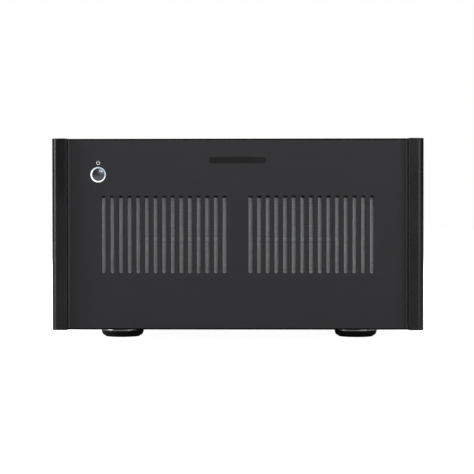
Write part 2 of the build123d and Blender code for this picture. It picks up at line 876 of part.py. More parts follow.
def make_heatsink(side):
    fin_root = sink_face + sink_base_thickness
    fin_tip = fin_root + sink_fin_depth
    sink = block(sink_face, fin_root, sink_front, sink_rear, floor_top, sink_top)
    count = int((sink_length - fin_thickness) / fin_pitch) + 1
    fins = []
    for step in range(count):
        y = sink_front + step * fin_pitch
        fins.append(block(fin_root - 0.5, fin_tip, y, y + fin_thickness, floor_top, sink_top))
    sink = sink + fins
    return sink if side > 0 else mirror(sink, Plane.YZ)


def make_amp_board(side):
    board = block(
        amp_board_inner, amp_board_outer, amp_board_front, amp_board_rear,
        amp_board_bottom, amp_board_top)
    return board if side > 0 else mirror(board, Plane.YZ)


def make_transistors():
    pieces = []
    first = (amp_board_front + amp_board_rear - transistor_pitch * (transistor_count - 1)) / 2
    leg_bottom = transistor_bottom + transistor_leg_rise
    for step in range(transistor_count):
        y = first + step * transistor_pitch
        body = block(
            sink_face - transistor_thickness, sink_face, y - transistor_width / 2, y + transistor_width / 2,
            transistor_bottom, transistor_bottom + transistor_height)
        for leg in (-1, 0, 1):
            leg_y = y + leg * transistor_leg_pitch
            body = body + block(
                amp_board_outer, sink_face - transistor_thickness + 0.5,
                leg_y - transistor_leg / 2, leg_y + transistor_leg / 2,
                leg_bottom, leg_bottom + transistor_leg)
        pieces.append(body)
        pieces.append(mirror(body, Plane.YZ))
    return group(pieces)


def make_board_spacers():
    spacers = []
    half = supply_board_width / 2 - spacer_inset
    for x in (-half, 0, half):
        for y in (supply_board_front + spacer_inset, supply_board_rear - spacer_inset):
            spacers.append(rod_z(spacer_radius, x, y, floor_top, board_bottom))
    near_x = -mains_board_side - spacer_inset
    for x in (near_x, near_x - mains_board_width + 2 * spacer_inset):
        for y in (mains_board_front + spacer_inset, mains_board_rear - spacer_inset):
            spacers.append(rod_z(spacer_radius, x, y, floor_top, board_bottom))
    amp_front = amp_board_front + amp_spacer_inset
    amp_rear = amp_board_rear - amp_spacer_inset
    for y in (amp_front, (amp_front + amp_rear) / 2, amp_rear):
        for z in (amp_board_bottom + amp_spacer_inset, amp_board_top - amp_spacer_inset):
            spacers.append(rod_x(spacer_radius, y, z, amp_board_outer, sink_face))
            spacers.append(rod_x(spacer_radius, y, z, -sink_face, -amp_board_outer))
    half = input_board_width / 2 - spacer_inset
    for x in (-half, half):
        for z in (input_board_bottom + spacer_inset, input_board_top - spacer_inset):
            spacers.append(rod_y(spacer_radius, x, z, input_board_rear, rear_inner))
    return group(spacers)


def make_input_board():
    half = input_board_width / 2
    return block(-half, half, input_board_front, input_board_rear, input_board_bottom, input_board_top)


def make_phono_sockets():
    sockets = []
    for side in (-1, 1):
        x = side * phono_offset
        z = socket_row_z
        half = phono_block / 2
        end = case_rear + phono_projection
        socket = block(x - half, x + half, input_board_rear, rear_inner, z - half, z + half)
        socket = socket + rod_y(phono_radius, x, z, rear_inner, end)
        socket = chamfer(socket.faces().sort_by(Axis.Y)[-1].edges(), socket_lip_chamfer)
        socket = socket + rod_y(phono_flange_radius, x, z, case_rear, case_rear + phono_flange_thickness)
        sockets.append(socket - rod_y(phono_bore_radius, x, z, end - phono_bore_depth, end + 1))
    return group(sockets)


def make_balanced_sockets():
    sockets = []
    flange_rear = case_rear + balanced_flange_thickness
    for side in (-1, 1):
        x = side * balanced_offset
        z = socket_row_z
        half_width = balanced_flange_width / 2
        half_height = balanced_flange_height / 2
        flange = block(
            x - half_width, x + half_width, case_rear, flange_rear, z - half_height, z + half_height)
        flange = fillet(flange.edges().filter_by(Axis.Y), balanced_corner)
        socket = flange + rod_y(balanced_body_radius, x, z, input_board_rear, flange_rear)
        mouth_z = z - balanced_mouth_drop
        mouth_front = flange_rear - balanced_mouth_depth
        socket = socket - rod_y(balanced_mouth_radius, x, mouth_z, mouth_front, flange_rear + 1)
        insert = rod_y(balanced_insert_radius, x, mouth_z, mouth_front, flange_rear)
        contacts = []
        for angle in (90, 210, 330):
            contacts.append(rod_y(
                balanced_contact_radius,
                x + balanced_contact_circle * math.cos(math.radians(angle)),
                mouth_z - balanced_contact_circle * math.sin(math.radians(angle)),
                flange_rear - balanced_contact_depth, flange_rear + 1))
        sockets.append(insert - contacts)
        latch_front = flange_rear + latch_proud - latch_length
        socket = socket - block(
            x - latch_width / 2 - moving_gap, x + latch_width / 2 + moving_gap,
            latch_front - latch_travel - moving_gap, flange_rear + 1,
            z + latch_rise - latch_height / 2 - moving_gap, z + latch_rise + latch_height / 2 + moving_gap)
        for screw_x, screw_z in balanced_screw_places(side):
            socket = socket - rod_y(
                small_screw_radius + screw_clearance, screw_x, screw_z, case_rear - 1, flange_rear + 1)
        sockets.append(socket)
    return group(sockets)


def make_latch(side):
    x = side * balanced_offset
    z = socket_row_z + latch_rise
    end = case_rear + balanced_flange_thickness + latch_proud
    tab = block(
        x - latch_width / 2, x + latch_width / 2, end - latch_length, end,
        z - latch_height / 2, z + latch_height / 2)
    return fillet(tab.faces().sort_by(Axis.Y)[-1].edges(), latch_round)


def make_trigger_sockets():
    sockets = []
    half = trigger_block / 2
    end = case_rear + trigger_projection
    for x in trigger_positions:
        z = trigger_row_z
        socket = block(x - half, x + half, input_board_rear, rear_inner, z - half, z + half)
        socket = socket + rod_y(trigger_bush_radius, x, z, rear_inner, end)
        socket = chamfer(socket.faces().sort_by(Axis.Y)[-1].edges(), socket_lip_chamfer)
        sockets.append(socket - rod_y(trigger_bore_radius, x, z, end - trigger_bore_depth, end + 1))
    return group(sockets)


def make_slide_switch(x, z, travel):
    middle = x + travel / 2
    half_width = slide_block_width / 2
    half_height = slide_block_height / 2
    body = block(
        middle - half_width, middle + half_width, input_board_rear, rear_inner,
        z - half_height, z + half_height)
    return body - slide_window(x, z, travel, rear_inner - slide_cavity_depth, rear_inner + 1)


def make_slide_switches():
    return group([
        make_slide_switch(0.0, switch_row_z, input_switch_travel),
        make_slide_switch(mode_switch_offset, trigger_row_z, mode_switch_travel),
    ])


def make_slide_knob(x, z):
    half_width = slide_knob_width / 2
    half_height = slide_knob_height / 2
    knob = block(
        x - half_width, x + half_width,
        rear_inner - slide_cavity_depth + moving_gap, case_rear + slide_knob_projection,
        z - half_height, z + half_height)
    return chamfer(knob.faces().sort_by(Axis.Y)[-1].edges(), slide_knob_chamfer)


def make_post_bases():
    bases = []
    for x in post_xs:
        base = rod_y(post_base_radius, x, post_z, case_rear, post_base_rear)
        washer_front = rear_inner - post_inner_washer
        base = fillet(base.edges().sort_by(Axis.Y)[-1], post_base_round)
        base = base + rod_y(post_boss_radius, x, post_z, washer_front, case_rear)
        base = base + rod_y(post_base_radius - post_washer_step, x, post_z, washer_front, rear_inner)
        bases.append(base - rod_y(
            post_stud_radius + thread_gap, x, post_z, washer_front - 1, post_base_rear + 1))
    return group(bases)


def make_post_studs():
    pieces = []
    washer_front = rear_inner - post_inner_washer
    for x in post_xs:
        stud = rod_y(post_stud_radius, x, post_z, rear_inner - post_stud_tail, stud_end)
        pieces.append(stud - rod_y(banana_radius, x, post_z, stud_end - banana_depth, stud_end + 1))
        nut = hex_nut(post_nut_radius, post_stud_radius + thread_gap, post_nut_height)
        pieces.append(Pos(x, washer_front, post_z) * Rot(90, 0, 0) * nut)
    return group(pieces)


def make_post_collar(x):
    collar = rod_y(collar_radius, x, post_z, collar_front, collar_rear)
    collar = chamfer(collar.edges().filter_by(GeomType.CIRCLE), collar_chamfer)
    return collar - rod_y(post_stud_radius + running_clearance, x, post_z, collar_front - 1, collar_rear + 1)


def make_post_cap(x):
    cap = rod_y(cap_outer_radius, x, post_z, cap_front, cap_end)
    cap = fillet(cap.edges().sort_by(Axis.Y)[-1], post_cap_round)
    flutes = []
    flute_circle = cap_outer_radius + flute_stand_off
    for step in range(cap_flutes):
        angle = 2 * math.pi * step / cap_flutes
        flutes.append(rod_y(
            cap_flute_radius,
            x + flute_circle * math.cos(angle), post_z + flute_circle * math.sin(angle),
            cap_front + flute_setback, cap_end + 1))
    cap = cap - flutes
    return cap - rod_y(post_stud_radius + running_clearance, x, post_z, cap_front - 1, cap_end + 1)


def make_mains_inlet():
    flange_rear = case_rear + inlet_flange_thickness
    body_front = flange_rear - inlet_body_depth
    half_width = inlet_body_width / 2
    half_height = inlet_body_height / 2
    flange = block(
        -inlet_flange_width / 2, inlet_flange_width / 2, case_rear, flange_rear,
        inlet_z - inlet_flange_height / 2, inlet_z + inlet_flange_height / 2)
    flange = chamfer(flange.edges().filter_by(Axis.Y), inlet_flange_corner)
    inlet = flange + block(
        -half_width, half_width, body_front, flange_rear, inlet_z - half_height, inlet_z + half_height)
    cavity_front = flange_rear - inlet_cavity_depth
    cavity = block(
        -inlet_cavity_width / 2, inlet_cavity_width / 2, cavity_front, flange_rear + 1,
        inlet_z - inlet_cavity_height / 2, inlet_z + inlet_cavity_height / 2)
    upper = cavity.edges().filter_by(Axis.Y).sort_by(Axis.Z)[-2:]
    inlet = inlet - chamfer(upper, inlet_cavity_corner)
    pin_end = cavity_front + inlet_pin_length
    for x, z in inlet_pin_places():
        inlet = inlet + block(
            x - inlet_pin_width / 2, x + inlet_pin_width / 2, cavity_front - 1, pin_end,
            z - inlet_pin_height / 2, z + inlet_pin_height / 2)
    for x, z in inlet_screw_places():
        inlet = inlet - rod_y(small_screw_radius + screw_clearance, x, z, case_rear - 1, flange_rear + 1)
    return inlet


def inlet_pin_places():
    half = inlet_pin_spacing / 2
    low = inlet_z - inlet_pin_drop
    return [(-half, low), (half, low), (0.0, inlet_z + inlet_pin_drop)]


def lead(points):
    # a wire along straight runs joined by arcs as large as the runs allow
    corners = [Vector(*point) for point in points]
    radii = []
    for before, corner, after in zip(corners, corners[1:], corners[2:]):
        run_in = corner - before
        run_out = after - corner
        half_turn = math.radians(run_in.get_angle(run_out)) / 2
        radii.append(0.45 * min(run_in.length, run_out.length) / math.tan(half_turn))
    path = FilletPolyline(*points, radius=radii)
    return sweep(Plane(path @ 0, z_dir=path % 0) * Circle(wire_radius), path=path)


def speaker_leads(side):
    # from the studs' tails to the inner face of the amplifier board
    tail = rear_inner - post_stud_tail
    board_x = side * amp_board_inner
    inner_x = side * post_inner_offset
    outer_x = side * post_outer_offset
    lane = board_x - side * lead_run
    high = post_z + lead_run
    inner_end = amp_board_rear - 2 * lead_run
    outer_end = inner_end + lead_step
    return [
        lead([
            (inner_x, tail, post_z), (inner_x, tail - lead_run, post_z),
            (lane, tail - 2.5 * lead_run, post_z), (lane, inner_end, post_z), (board_x, inner_end, post_z)]),
        lead([
            (outer_x, tail, post_z), (outer_x, tail - lead_step, post_z),
            (outer_x - side * lead_run, tail - lead_step, high),
            (lane - side * lead_step, tail - lead_run - lead_step, high),
            (lane - side * lead_step, outer_end, high), (board_x, outer_end, high)]),
    ]


def transformer_leads(side):
    # out of the winding's rear, then down to the supply board between two capacitors
    leads = []
    rise = transformer_bottom + transformer_height / 3
    drop_y = transformer_y + transformer_radius + lead_run
    for offset in (-wire_spacing / 2, wire_spacing / 2):
        x = transformer_x(side) + offset
        start = transformer_y + math.sqrt(transformer_radius ** 2 - offset ** 2) + 0.1
        leads.append(lead([
            (x, start, rise), (x, start + lead_run / 2, rise), (x, drop_y, rise - lead_run),
            (x, drop_y, board_top)]))
    return leads


def inlet_leads():
    # from the inlet's back to the mains board
    start = case_rear + inlet_flange_thickness - inlet_body_depth
    end_x = -mains_board_side - lead_step
    end_y = mains_board_rear - lead_step
    far_x = end_x - lead_step
    far_y = end_y - wire_spacing
    half = inlet_pin_spacing / 2
    return [
        lead([
            (-half, start, inlet_z), (-half, start - lead_step, inlet_z),
            (end_x, end_y, inlet_z - lead_step), (end_x, end_y, board_top)]),
        lead([
            (half, start, inlet_z), (half, start - lead_run / 2, inlet_z),
            (-half - lead_run, end_y + lead_step / 2, inlet_z + lead_run),
            (far_x, far_y, inlet_z), (far_x, far_y, board_top)]),
    ]


def switch_leads():
    # up from the mains board, then forward over the left heat sink to the power switch
    leads = []
    for offset in (-wire_spacing / 2, wire_spacing / 2):
        y = mains_board_front + switch_lead_setback - offset
        leads.append(lead([
            (-switch_lead_column + offset, y, board_top),
            (-switch_lead_column + offset, y, button_z - lead_run),
            (button_x + offset, y - 3 * lead_run, button_z),
            (button_x + offset, switch_front + switch_depth, button_z)]))
    return leads


def make_wiring():
    leads = inlet_leads() + switch_leads()
    for side in (-1, 1):
        leads = leads + speaker_leads(side) + transformer_leads(side)
    return group(leads)


def case_screw():
    return screw(screw_radius, screw_head_radius, screw_head_height, screw_length)


def make_case_screws():
    pieces = []
    for x, y, z in side_screw_places():
        turn = 90 if x > 0 else -90
        pieces.append(Pos(x, y, z) * Rot(0, turn, 0) * case_screw())
    for x, z in rear_screw_places():
        pieces.append(Pos(x, case_rear, z) * Rot(-90, 0, 0) * case_screw())
    for x, z in front_screw_places() + cap_screw_places():
        pieces.append(Pos(x, subpanel_rear, z) * Rot(-90, 0, 0) * case_screw())
    return group(pieces)


def make_connector_screws():
    pieces = []
    piece = screw(small_screw_radius, small_screw_head_radius, small_screw_head_height, small_screw_length)
    for side in (-1, 1):
        for x, z in balanced_screw_places(side):
            pieces.append(Pos(x, case_rear + balanced_flange_thickness, z) * Rot(-90, 0, 0) * piece)
    for x, z in inlet_screw_places():
        pieces.append(Pos(x, case_rear + inlet_flange_thickness, z) * Rot(-90, 0, 0) * piece)
    return group(pieces)


def write(name, shape):
    export_step(shape, f"parts/{name}.step")


os.makedirs("parts", exist_ok=True)

write("front_panel", make_front_panel())
write("name_inlay", make_name_inlay())
write("front_subpanel", make_subpanel())
write("light_ring", make_light_ring())
write("power_button", make_button())
write("button_guide", make_button_guide())
write("button_spring", make_button_spring())
write("power_switch", make_power_switch())
write("chassis_base", make_chassis_base())
write("top_cover", make_top_cover())
write("rear_panel", make_rear_panel())
for place, (foot_x, foot_y) in foot_places.items():
    write(f"foot_{place}", make_foot(foot_x, foot_y))
write("foot_trims", make_foot_trims())
write("foot_pads", make_foot_pads())
write("foot_screws", make_foot_screws())
write("transformer_pads", make_transformer_pads())
write("transformer_clamps", make_transformer_clamps())
write("transformer_bolts", make_transformer_bolts())
write("supply_capacitors", make_capacitors())
write("supply_board", make_supply_board())
write("rectifiers", make_rectifiers())
write("mains_board", make_mains_board())
write("output_transistors", make_transistors())
write("board_spacers", make_board_spacers())
write("input_board", make_input_board())
write("phono_sockets", make_phono_sockets())
write("balanced_sockets", make_balanced_sockets())
write("trigger_sockets", make_trigger_sockets())
write("slide_switches", make_slide_switches())
write("input_switch_knob", make_slide_knob(0.0, switch_row_z))
write("mode_switch_knob", make_slide_knob(mode_switch_offset, trigger_row_z))
write("post_bases", make_post_bases())
write("post_studs", make_post_studs())
write("mains_inlet", make_mains_inlet())
write("wiring", make_wiring())
write("case_screws", make_case_screws())
write("connector_screws", make_connector_screws())
for side_name, side in (("left", -1), ("right", 1)):
    write(f"end_cap_{side_name}", make_end_cap(side))
    write(f"grille_screen_{side_name}", make_screen(side))
    write(f"transformer_{side_name}", make_transformer(side))
    write(f"heatsink_{side_name}", make_heatsink(side))
    write(f"amp_board_{side_name}", make_amp_board(side))
    write(f"socket_latch_{side_name}", make_latch(side))
for number, post_x in enumerate(post_xs, start=1):
    write(f"post_collar_{number}", make_post_collar(post_x))
    write(f"post_cap_{number}", make_post_cap(post_x))
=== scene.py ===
import math

import bmesh
import bpy
import numpy as np
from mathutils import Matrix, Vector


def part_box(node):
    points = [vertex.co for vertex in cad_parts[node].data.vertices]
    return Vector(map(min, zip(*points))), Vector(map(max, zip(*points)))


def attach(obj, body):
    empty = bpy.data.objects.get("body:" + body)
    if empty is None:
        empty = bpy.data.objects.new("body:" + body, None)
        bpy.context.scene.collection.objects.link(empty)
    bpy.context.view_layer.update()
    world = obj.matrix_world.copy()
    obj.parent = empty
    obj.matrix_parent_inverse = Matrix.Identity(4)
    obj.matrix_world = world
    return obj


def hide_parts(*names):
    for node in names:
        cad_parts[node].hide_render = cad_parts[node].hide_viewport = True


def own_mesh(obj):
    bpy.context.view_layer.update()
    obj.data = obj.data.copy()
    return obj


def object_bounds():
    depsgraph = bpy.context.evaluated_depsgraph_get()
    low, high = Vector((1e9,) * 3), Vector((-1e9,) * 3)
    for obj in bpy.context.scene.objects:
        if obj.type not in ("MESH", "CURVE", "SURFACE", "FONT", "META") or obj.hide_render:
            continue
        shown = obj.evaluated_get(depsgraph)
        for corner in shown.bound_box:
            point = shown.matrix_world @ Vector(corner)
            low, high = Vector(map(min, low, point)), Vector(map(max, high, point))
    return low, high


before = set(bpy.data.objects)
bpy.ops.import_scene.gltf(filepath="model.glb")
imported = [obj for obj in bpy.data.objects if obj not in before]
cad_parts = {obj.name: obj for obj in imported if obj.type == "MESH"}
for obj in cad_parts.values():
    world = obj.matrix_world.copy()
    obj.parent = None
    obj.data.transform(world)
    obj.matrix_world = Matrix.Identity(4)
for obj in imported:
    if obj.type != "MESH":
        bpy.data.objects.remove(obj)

cadBox = [list(corner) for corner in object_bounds()]
fullTurn = 2 * math.pi
print("stage: frame loaded,", len(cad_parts), "nodes")


def boxOf(node):
    low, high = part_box(node)
    return np.array(low), np.array(high)


panelLow, panelHigh = boxOf("front_panel")
coverHigh = boxOf("top_cover")[1]
rearHigh = boxOf("rear_panel")[1]


def addObject(name, data):
    thing = bpy.data.objects.new(name, data)
    bpy.context.scene.collection.objects.link(thing)
    return thing


# node helpers

def addNode(tree, kind, inputs=None, **settings):
    node = tree.nodes.new(kind)
    for key, value in settings.items():
        setattr(node, key, value)
    feedAll(tree, node, inputs or {})
    return node


def feed(tree, socket, value):
    if isinstance(value, bpy.types.NodeSocket):
        tree.links.new(value, socket)
    else:
        socket.default_value = (*value[:3], 1.0) if socket.type == "RGBA" else value


def feedAll(tree, node, values):
    for key, value in values.items():
        feed(tree, node.inputs[key], value)


def calc(tree, operation, *values, clamp=False):
    node = addNode(tree, "ShaderNodeMath", operation=operation, use_clamp=clamp)
    feedAll(tree, node, dict(enumerate(values)))
    return node.outputs[0]


def vectorCalc(tree, operation, *values):
    node = addNode(tree, "ShaderNodeVectorMath", operation=operation)
    feedAll(tree, node, dict(enumerate(values)))
    return node.outputs[0]


def remap(tree, value, fromLow, fromHigh, toLow=0.0, toHigh=1.0):
    # from 0 to 1, or between the given ends, as the value crosses the range, with soft ends
    node = addNode(tree, "ShaderNodeMapRange", clamp=True, interpolation_type="SMOOTHSTEP")
    feedAll(tree, node, dict(enumerate((value, fromLow, fromHigh, toLow, toHigh))))
    return node.outputs[0]


def blendColor(tree, factor, first, second):
    return addNode(tree, "ShaderNodeMix", {0: factor, 6: first, 7: second}, data_type="RGBA").outputs[2]


def shaded(tree, color, brightness):
    node = addNode(tree, "ShaderNodeVectorMath", {0: color, "Scale": brightness}, operation="SCALE")
    return node.outputs[0]


def addBump(tree, shader, height, distance, strength=1.0):
    bump = addNode(tree, "ShaderNodeBump", {"Height": height, "Distance": distance, "Strength": strength})
    feed(tree, shader.inputs["Normal"], bump.outputs[0])


def separate(tree, vector):
    node = addNode(tree, "ShaderNodeSeparateXYZ", {"Vector": vector})
    return node.outputs[0], node.outputs[1], node.outputs[2]


def objectPlace(tree):
    return addNode(tree, "ShaderNodeTexCoord").outputs["Object"]


def newGroup(name, inputs, outputs):
    tree = bpy.data.node_groups.new(name, "ShaderNodeTree")
    for socketName, kind, value in inputs:
        socket = tree.interface.new_socket(socketName, in_out="INPUT", socket_type=kind)
        socket.default_value = value
    for socketName, kind in outputs:
        tree.interface.new_socket(socketName, in_out="OUTPUT", socket_type=kind)
    return tree, tree.nodes.new("NodeGroupInput").outputs, tree.nodes.new("NodeGroupOutput").inputs


def useGroup(tree, group, **values):
    return addNode(tree, "ShaderNodeGroup", values, node_tree=group).outputs


# shared effects

def makeGrainGroup():
    # two layers of noise on stretched object coordinates: a fine one, and one four times as coarse
    tree, given, out = newGroup(
        "surfaceGrain", [("Stretch", "NodeSocketVector", (1000, 1000, 1000))],
        [("Shade", "NodeSocketFloat"), ("Height", "NodeSocketFloat")])
    stretched = vectorCalc(tree, "MULTIPLY", objectPlace(tree), given["Stretch"])
    fine = addNode(tree, "ShaderNodeTexNoise", {"Vector": stretched, "Scale": 1.0, "Detail": 2.0})
    coarse = addNode(tree, "ShaderNodeTexNoise", {"Vector": stretched, "Scale": 0.25, "Detail": 2.0})
    both = calc(tree, "ADD", fine.outputs[0], coarse.outputs[0])
    feed(tree, out["Shade"], calc(tree, "SUBTRACT", both, 1.0))
    feed(tree, out["Height"], fine.outputs[0])
    return tree


def makeSmudgeGroup():
    # broad soft patches, as handling and dust leave them
    tree, given, out = newGroup(
        "softSmudges", [("Size", "NodeSocketFloat", 0.06)], [("Value", "NodeSocketFloat")])
    place = vectorCalc(tree, "DIVIDE", objectPlace(tree), spread(tree, given["Size"]))
    patches = addNode(tree, "ShaderNodeTexNoise", {"Vector": place, "Scale": 1.0, "Detail": 4.0})
    feed(tree, out["Value"], remap(tree, patches.outputs[0], 0.35, 0.68))
    return tree


def spread(tree, value):
    return addNode(tree, "ShaderNodeCombineXYZ", {0: value, 1: value, 2: value}).outputs[0]


def makeEdgeGroup():
    # on a box-shaped piece, the middle one of a point's three distances to the sides is its distance
    # to the nearest edge; the mask falls from 1 at the edge to 0 at the given width, broken up by noise
    tree, given, out = newGroup(
        "boxEdge",
        [("Low", "NodeSocketVector", (0, 0, 0)), ("High", "NodeSocketVector", (1, 1, 1)),
         ("Width", "NodeSocketFloat", 0.001)],
        [("Mask", "NodeSocketFloat")])
    place = objectPlace(tree)
    below = vectorCalc(tree, "SUBTRACT", place, given["Low"])
    above = vectorCalc(tree, "SUBTRACT", given["High"], place)
    x, y, z = separate(tree, vectorCalc(tree, "ABSOLUTE", vectorCalc(tree, "MINIMUM", below, above)))
    lower = calc(tree, "MINIMUM", x, y)
    upper = calc(tree, "MAXIMUM", x, y)
    middle = calc(tree, "MAXIMUM", lower, calc(tree, "MINIMUM", upper, z))
    noise = addNode(tree, "ShaderNodeTexNoise", {"Vector": place, "Scale": 260.0, "Detail": 4.0})
    ragged = calc(tree, "MULTIPLY", given["Width"], remap(tree, noise.outputs[0], 0.3, 0.7, 0.35, 1.3))
    feed(tree, out["Mask"], remap(tree, calc(tree, "DIVIDE", middle, ragged), 0.2, 1.0, 1.0, 0.0))
    return tree


grainGroup = makeGrainGroup()
smudgeGroup = makeSmudgeGroup()
edgeGroup = makeEdgeGroup()


def useGrain(tree, stretch):
    # one number stretches the grain alike along all three axes
    return useGroup(tree, grainGroup, Stretch=np.full(3, stretch, float))


# materials

def newMaterial(name):
    material = bpy.data.materials.new(name)
    material.use_nodes = True
    tree = material.node_tree
    return material, tree, tree.nodes["Principled BSDF"]


plainFinish = {
    "shade": 0.2, "dulling": 0.1, "dust": (0.12, 0.12, 0.12), "smudgeSize": 0.06, "bump": 0.00002,
    "roughnessSpread": 0.08, "roughnessGrain": 0.05, "metallic": 0.0, "specular": 0.5, "coat": 0.0,
    "coatRoughness": 0.1, "edgeWidth": 0.0006, "edgeAmount": 0.4, "edgeColor": (0.2, 0.2, 0.2),
}


def finishMaterial(name, ownLook, node=None):
    # a base colour that grain shades and smudges dull, a roughness that smudges raise, fine bump,
    # and along the edges of the given node's box a colour that is wear on most finishes and painted shade on
    # the end caps
    look = {**plainFinish, **ownLook}
    material, tree, shader = newMaterial(name)
    grain = useGrain(tree, look["stretch"])
    smudge = useGroup(tree, smudgeGroup, Size=look["smudgeSize"])["Value"]
    color = shaded(tree, look["color"], calc(tree, "MULTIPLY_ADD", grain["Shade"], look["shade"], 1.0))
    color = blendColor(tree, calc(tree, "MULTIPLY", smudge, look["dulling"]), color, look["dust"])
    if node is not None:
        low, high = boxOf(node)
        edge = useGroup(tree, edgeGroup, Low=low, High=high, Width=look["edgeWidth"])["Mask"]
        color = blendColor(tree, calc(tree, "MULTIPLY", edge, look["edgeAmount"]), color, look["edgeColor"])
    rough = calc(tree, "MULTIPLY_ADD", smudge, look["roughnessSpread"], look["roughness"])
    rough = calc(tree, "MULTIPLY_ADD", grain["Shade"], look["roughnessGrain"], rough, clamp=True)
    addBump(tree, shader, grain["Height"], look["bump"])
    feedAll(tree, shader, {
        "Base Color": color, "Roughness": rough, "Metallic": look["metallic"],
        "Specular IOR Level": look["specular"], "Coat Weight": look["coat"],
        "Coat Roughness": look["coatRoughness"]})
    return material


# the edge line and colour paint shade along the panel's long edges
# the side line and colour paint a highlight where the caps meet the panel
panelLook = {
    "color": (0.0172, 0.0172, 0.0188), "streaks": (22, 22, 2600), "wideStreaks": (7, 7, 620),
    "streakShade": 0.16, "wideShade": 0.10, "roughness": 0.55, "metallic": 0.2, "specular": 0.2,
    "anisotropy": 0.45, "bump": 0.000004, "sideHighlightLine": 0.0024, "sideHighlightColor": (0.06, 0.06, 0.062),
    "edgeShadeLine": 0.0019, "edgeColor": (0.002, 0.002, 0.002), "wallColor": (0.05, 0.05, 0.05),
}


def makePanelMaterial():
    # brushing runs along X; the long edges get a painted shade, and the short ones a painted highlight where
    # the caps meet them
    look = panelLook
    material, tree, shader = newMaterial("brushedBlack")
    fine = useGrain(tree, look["streaks"])
    wide = useGrain(tree, look["wideStreaks"])
    smudge = useGroup(tree, smudgeGroup, Size=0.09)["Value"]
    shade = calc(tree, "MULTIPLY_ADD", fine["Shade"], look["streakShade"], 1.0)
    shade = calc(tree, "MULTIPLY_ADD", wide["Shade"], look["wideShade"], shade)
    color = shaded(tree, look["color"], shade)
    x, y, z = separate(tree, objectPlace(tree))
    deep = remap(tree, y, panelLow[1] + 0.0001, panelLow[1] + 0.0006)
    color = blendColor(tree, deep, color, look["wallColor"])
    # painted highlight: a lighter band on the short edges where the caps meet
    fromSide = calc(tree, "SUBTRACT", panelHigh[0], calc(tree, "ABSOLUTE", x))
    paintedSideHighlight = remap(tree, fromSide, look["sideHighlightLine"] * 0.3, look["sideHighlightLine"], 1.0, 0.0)
    color = blendColor(tree, paintedSideHighlight, color, look["sideHighlightColor"])
    middleHeight = (panelLow[2] + panelHigh[2]) / 2
    fromTop = calc(
        tree, "SUBTRACT", (panelHigh[2] - panelLow[2]) / 2,
        calc(tree, "ABSOLUTE", calc(tree, "SUBTRACT", z, middleHeight)))
    # painted shade: the long edges turn near black and metallic
    paintedEdgeShade = remap(tree, fromTop, look["edgeShadeLine"] * 0.7, look["edgeShadeLine"], 1.0, 0.0)
    color = blendColor(tree, paintedEdgeShade, color, look["edgeColor"])
    rough = calc(tree, "MULTIPLY_ADD", smudge, 0.05, look["roughness"])
    addBump(tree, shader, fine["Height"], look["bump"])
    feedAll(tree, shader, {
        "Base Color": color, "Roughness": calc(tree, "MULTIPLY_ADD", fine["Shade"], 0.12, rough),
        "Metallic": calc(tree, "MAXIMUM", paintedEdgeShade, look["metallic"]),
        "Specular IOR Level": look["specular"], "Anisotropic": look["anisotropy"]})
    return material


ringGlow = {
    "brightSide": (-0.6, -0.8), "bright": (0.90, 0.97, 0.98), "dim": (0.17, 0.26, 0.34),
    "strength": 1.0, "lens": (0.30, 0.36, 0.42), "mottle": 0.12, "roughness": 0.28,
}


def makeRingMaterial(centre):
    # the lens glows unevenly round the ring, because its lamp sits on one side
    material, tree, shader = newMaterial("ringLens")
    local = vectorCalc(tree, "SUBTRACT", objectPlace(tree), tuple(centre))
    x, y, z = separate(tree, vectorCalc(tree, "NORMALIZE", vectorCalc(tree, "MULTIPLY", local, (1, 0, 1))))
    facing = calc(tree, "MULTIPLY", x, ringGlow["brightSide"][0])
    facing = calc(tree, "MULTIPLY_ADD", z, ringGlow["brightSide"][1], facing)
    mottle = useGrain(tree, 900)["Shade"]
    lit = remap(tree, calc(tree, "MULTIPLY_ADD", mottle, ringGlow["mottle"], facing), -0.95, 0.55)
    color = blendColor(tree, lit, ringGlow["dim"], ringGlow["bright"])
    feedAll(tree, shader, {
        "Base Color": ringGlow["lens"], "Emission Color": color, "Emission Strength": ringGlow["strength"],
        "Roughness": calc(tree, "MULTIPLY_ADD", mottle, 0.08, ringGlow["roughness"])})
    return material


buttonLook = {
    "color": (0.10, 0.10, 0.112), "rings": 0.00022, "ringShade": 0.12, "roughness": 0.27, "metallic": 0.9,
    "bump": 0.0000012, "edgeColor": (0.012, 0.014, 0.02),
}


def makeButtonMaterial(centre, radius):
    # turned on a lathe: fine rings round the middle, and a darker rim
    look = buttonLook
    material, tree, shader = newMaterial("turnedButton")
    local = vectorCalc(tree, "SUBTRACT", objectPlace(tree), tuple(centre))
    flat = vectorCalc(tree, "MULTIPLY", local, (1, 0, 1))
    distance = addNode(tree, "ShaderNodeVectorMath", {0: flat}, operation="LENGTH").outputs["Value"]
    wave = calc(tree, "SINE", calc(tree, "MULTIPLY", distance, fullTurn / look["rings"]))
    grain = useGrain(tree, 2500)
    rim = remap(tree, distance, radius * 0.84, radius * 0.97)
    color = shaded(tree, look["color"], calc(tree, "MULTIPLY_ADD", wave, look["ringShade"], 1.0))
    color = blendColor(tree, rim, color, look["edgeColor"])
    addBump(tree, shader, wave, look["bump"])
    feedAll(tree, shader, {
        "Base Color": color, "Metallic": look["metallic"],
        "Roughness": calc(tree, "MULTIPLY_ADD", grain["Shade"], 0.06, look["roughness"])})
    return material


boardLook = {
    "mask": (0.012, 0.075, 0.032), "track": (0.03, 0.16, 0.07), "pad": (0.55, 0.50, 0.36),
    "trackPitch": 0.0042, "padPitch": 0.0085, "roughness": 0.35, "padHeight": 0.00008,
}


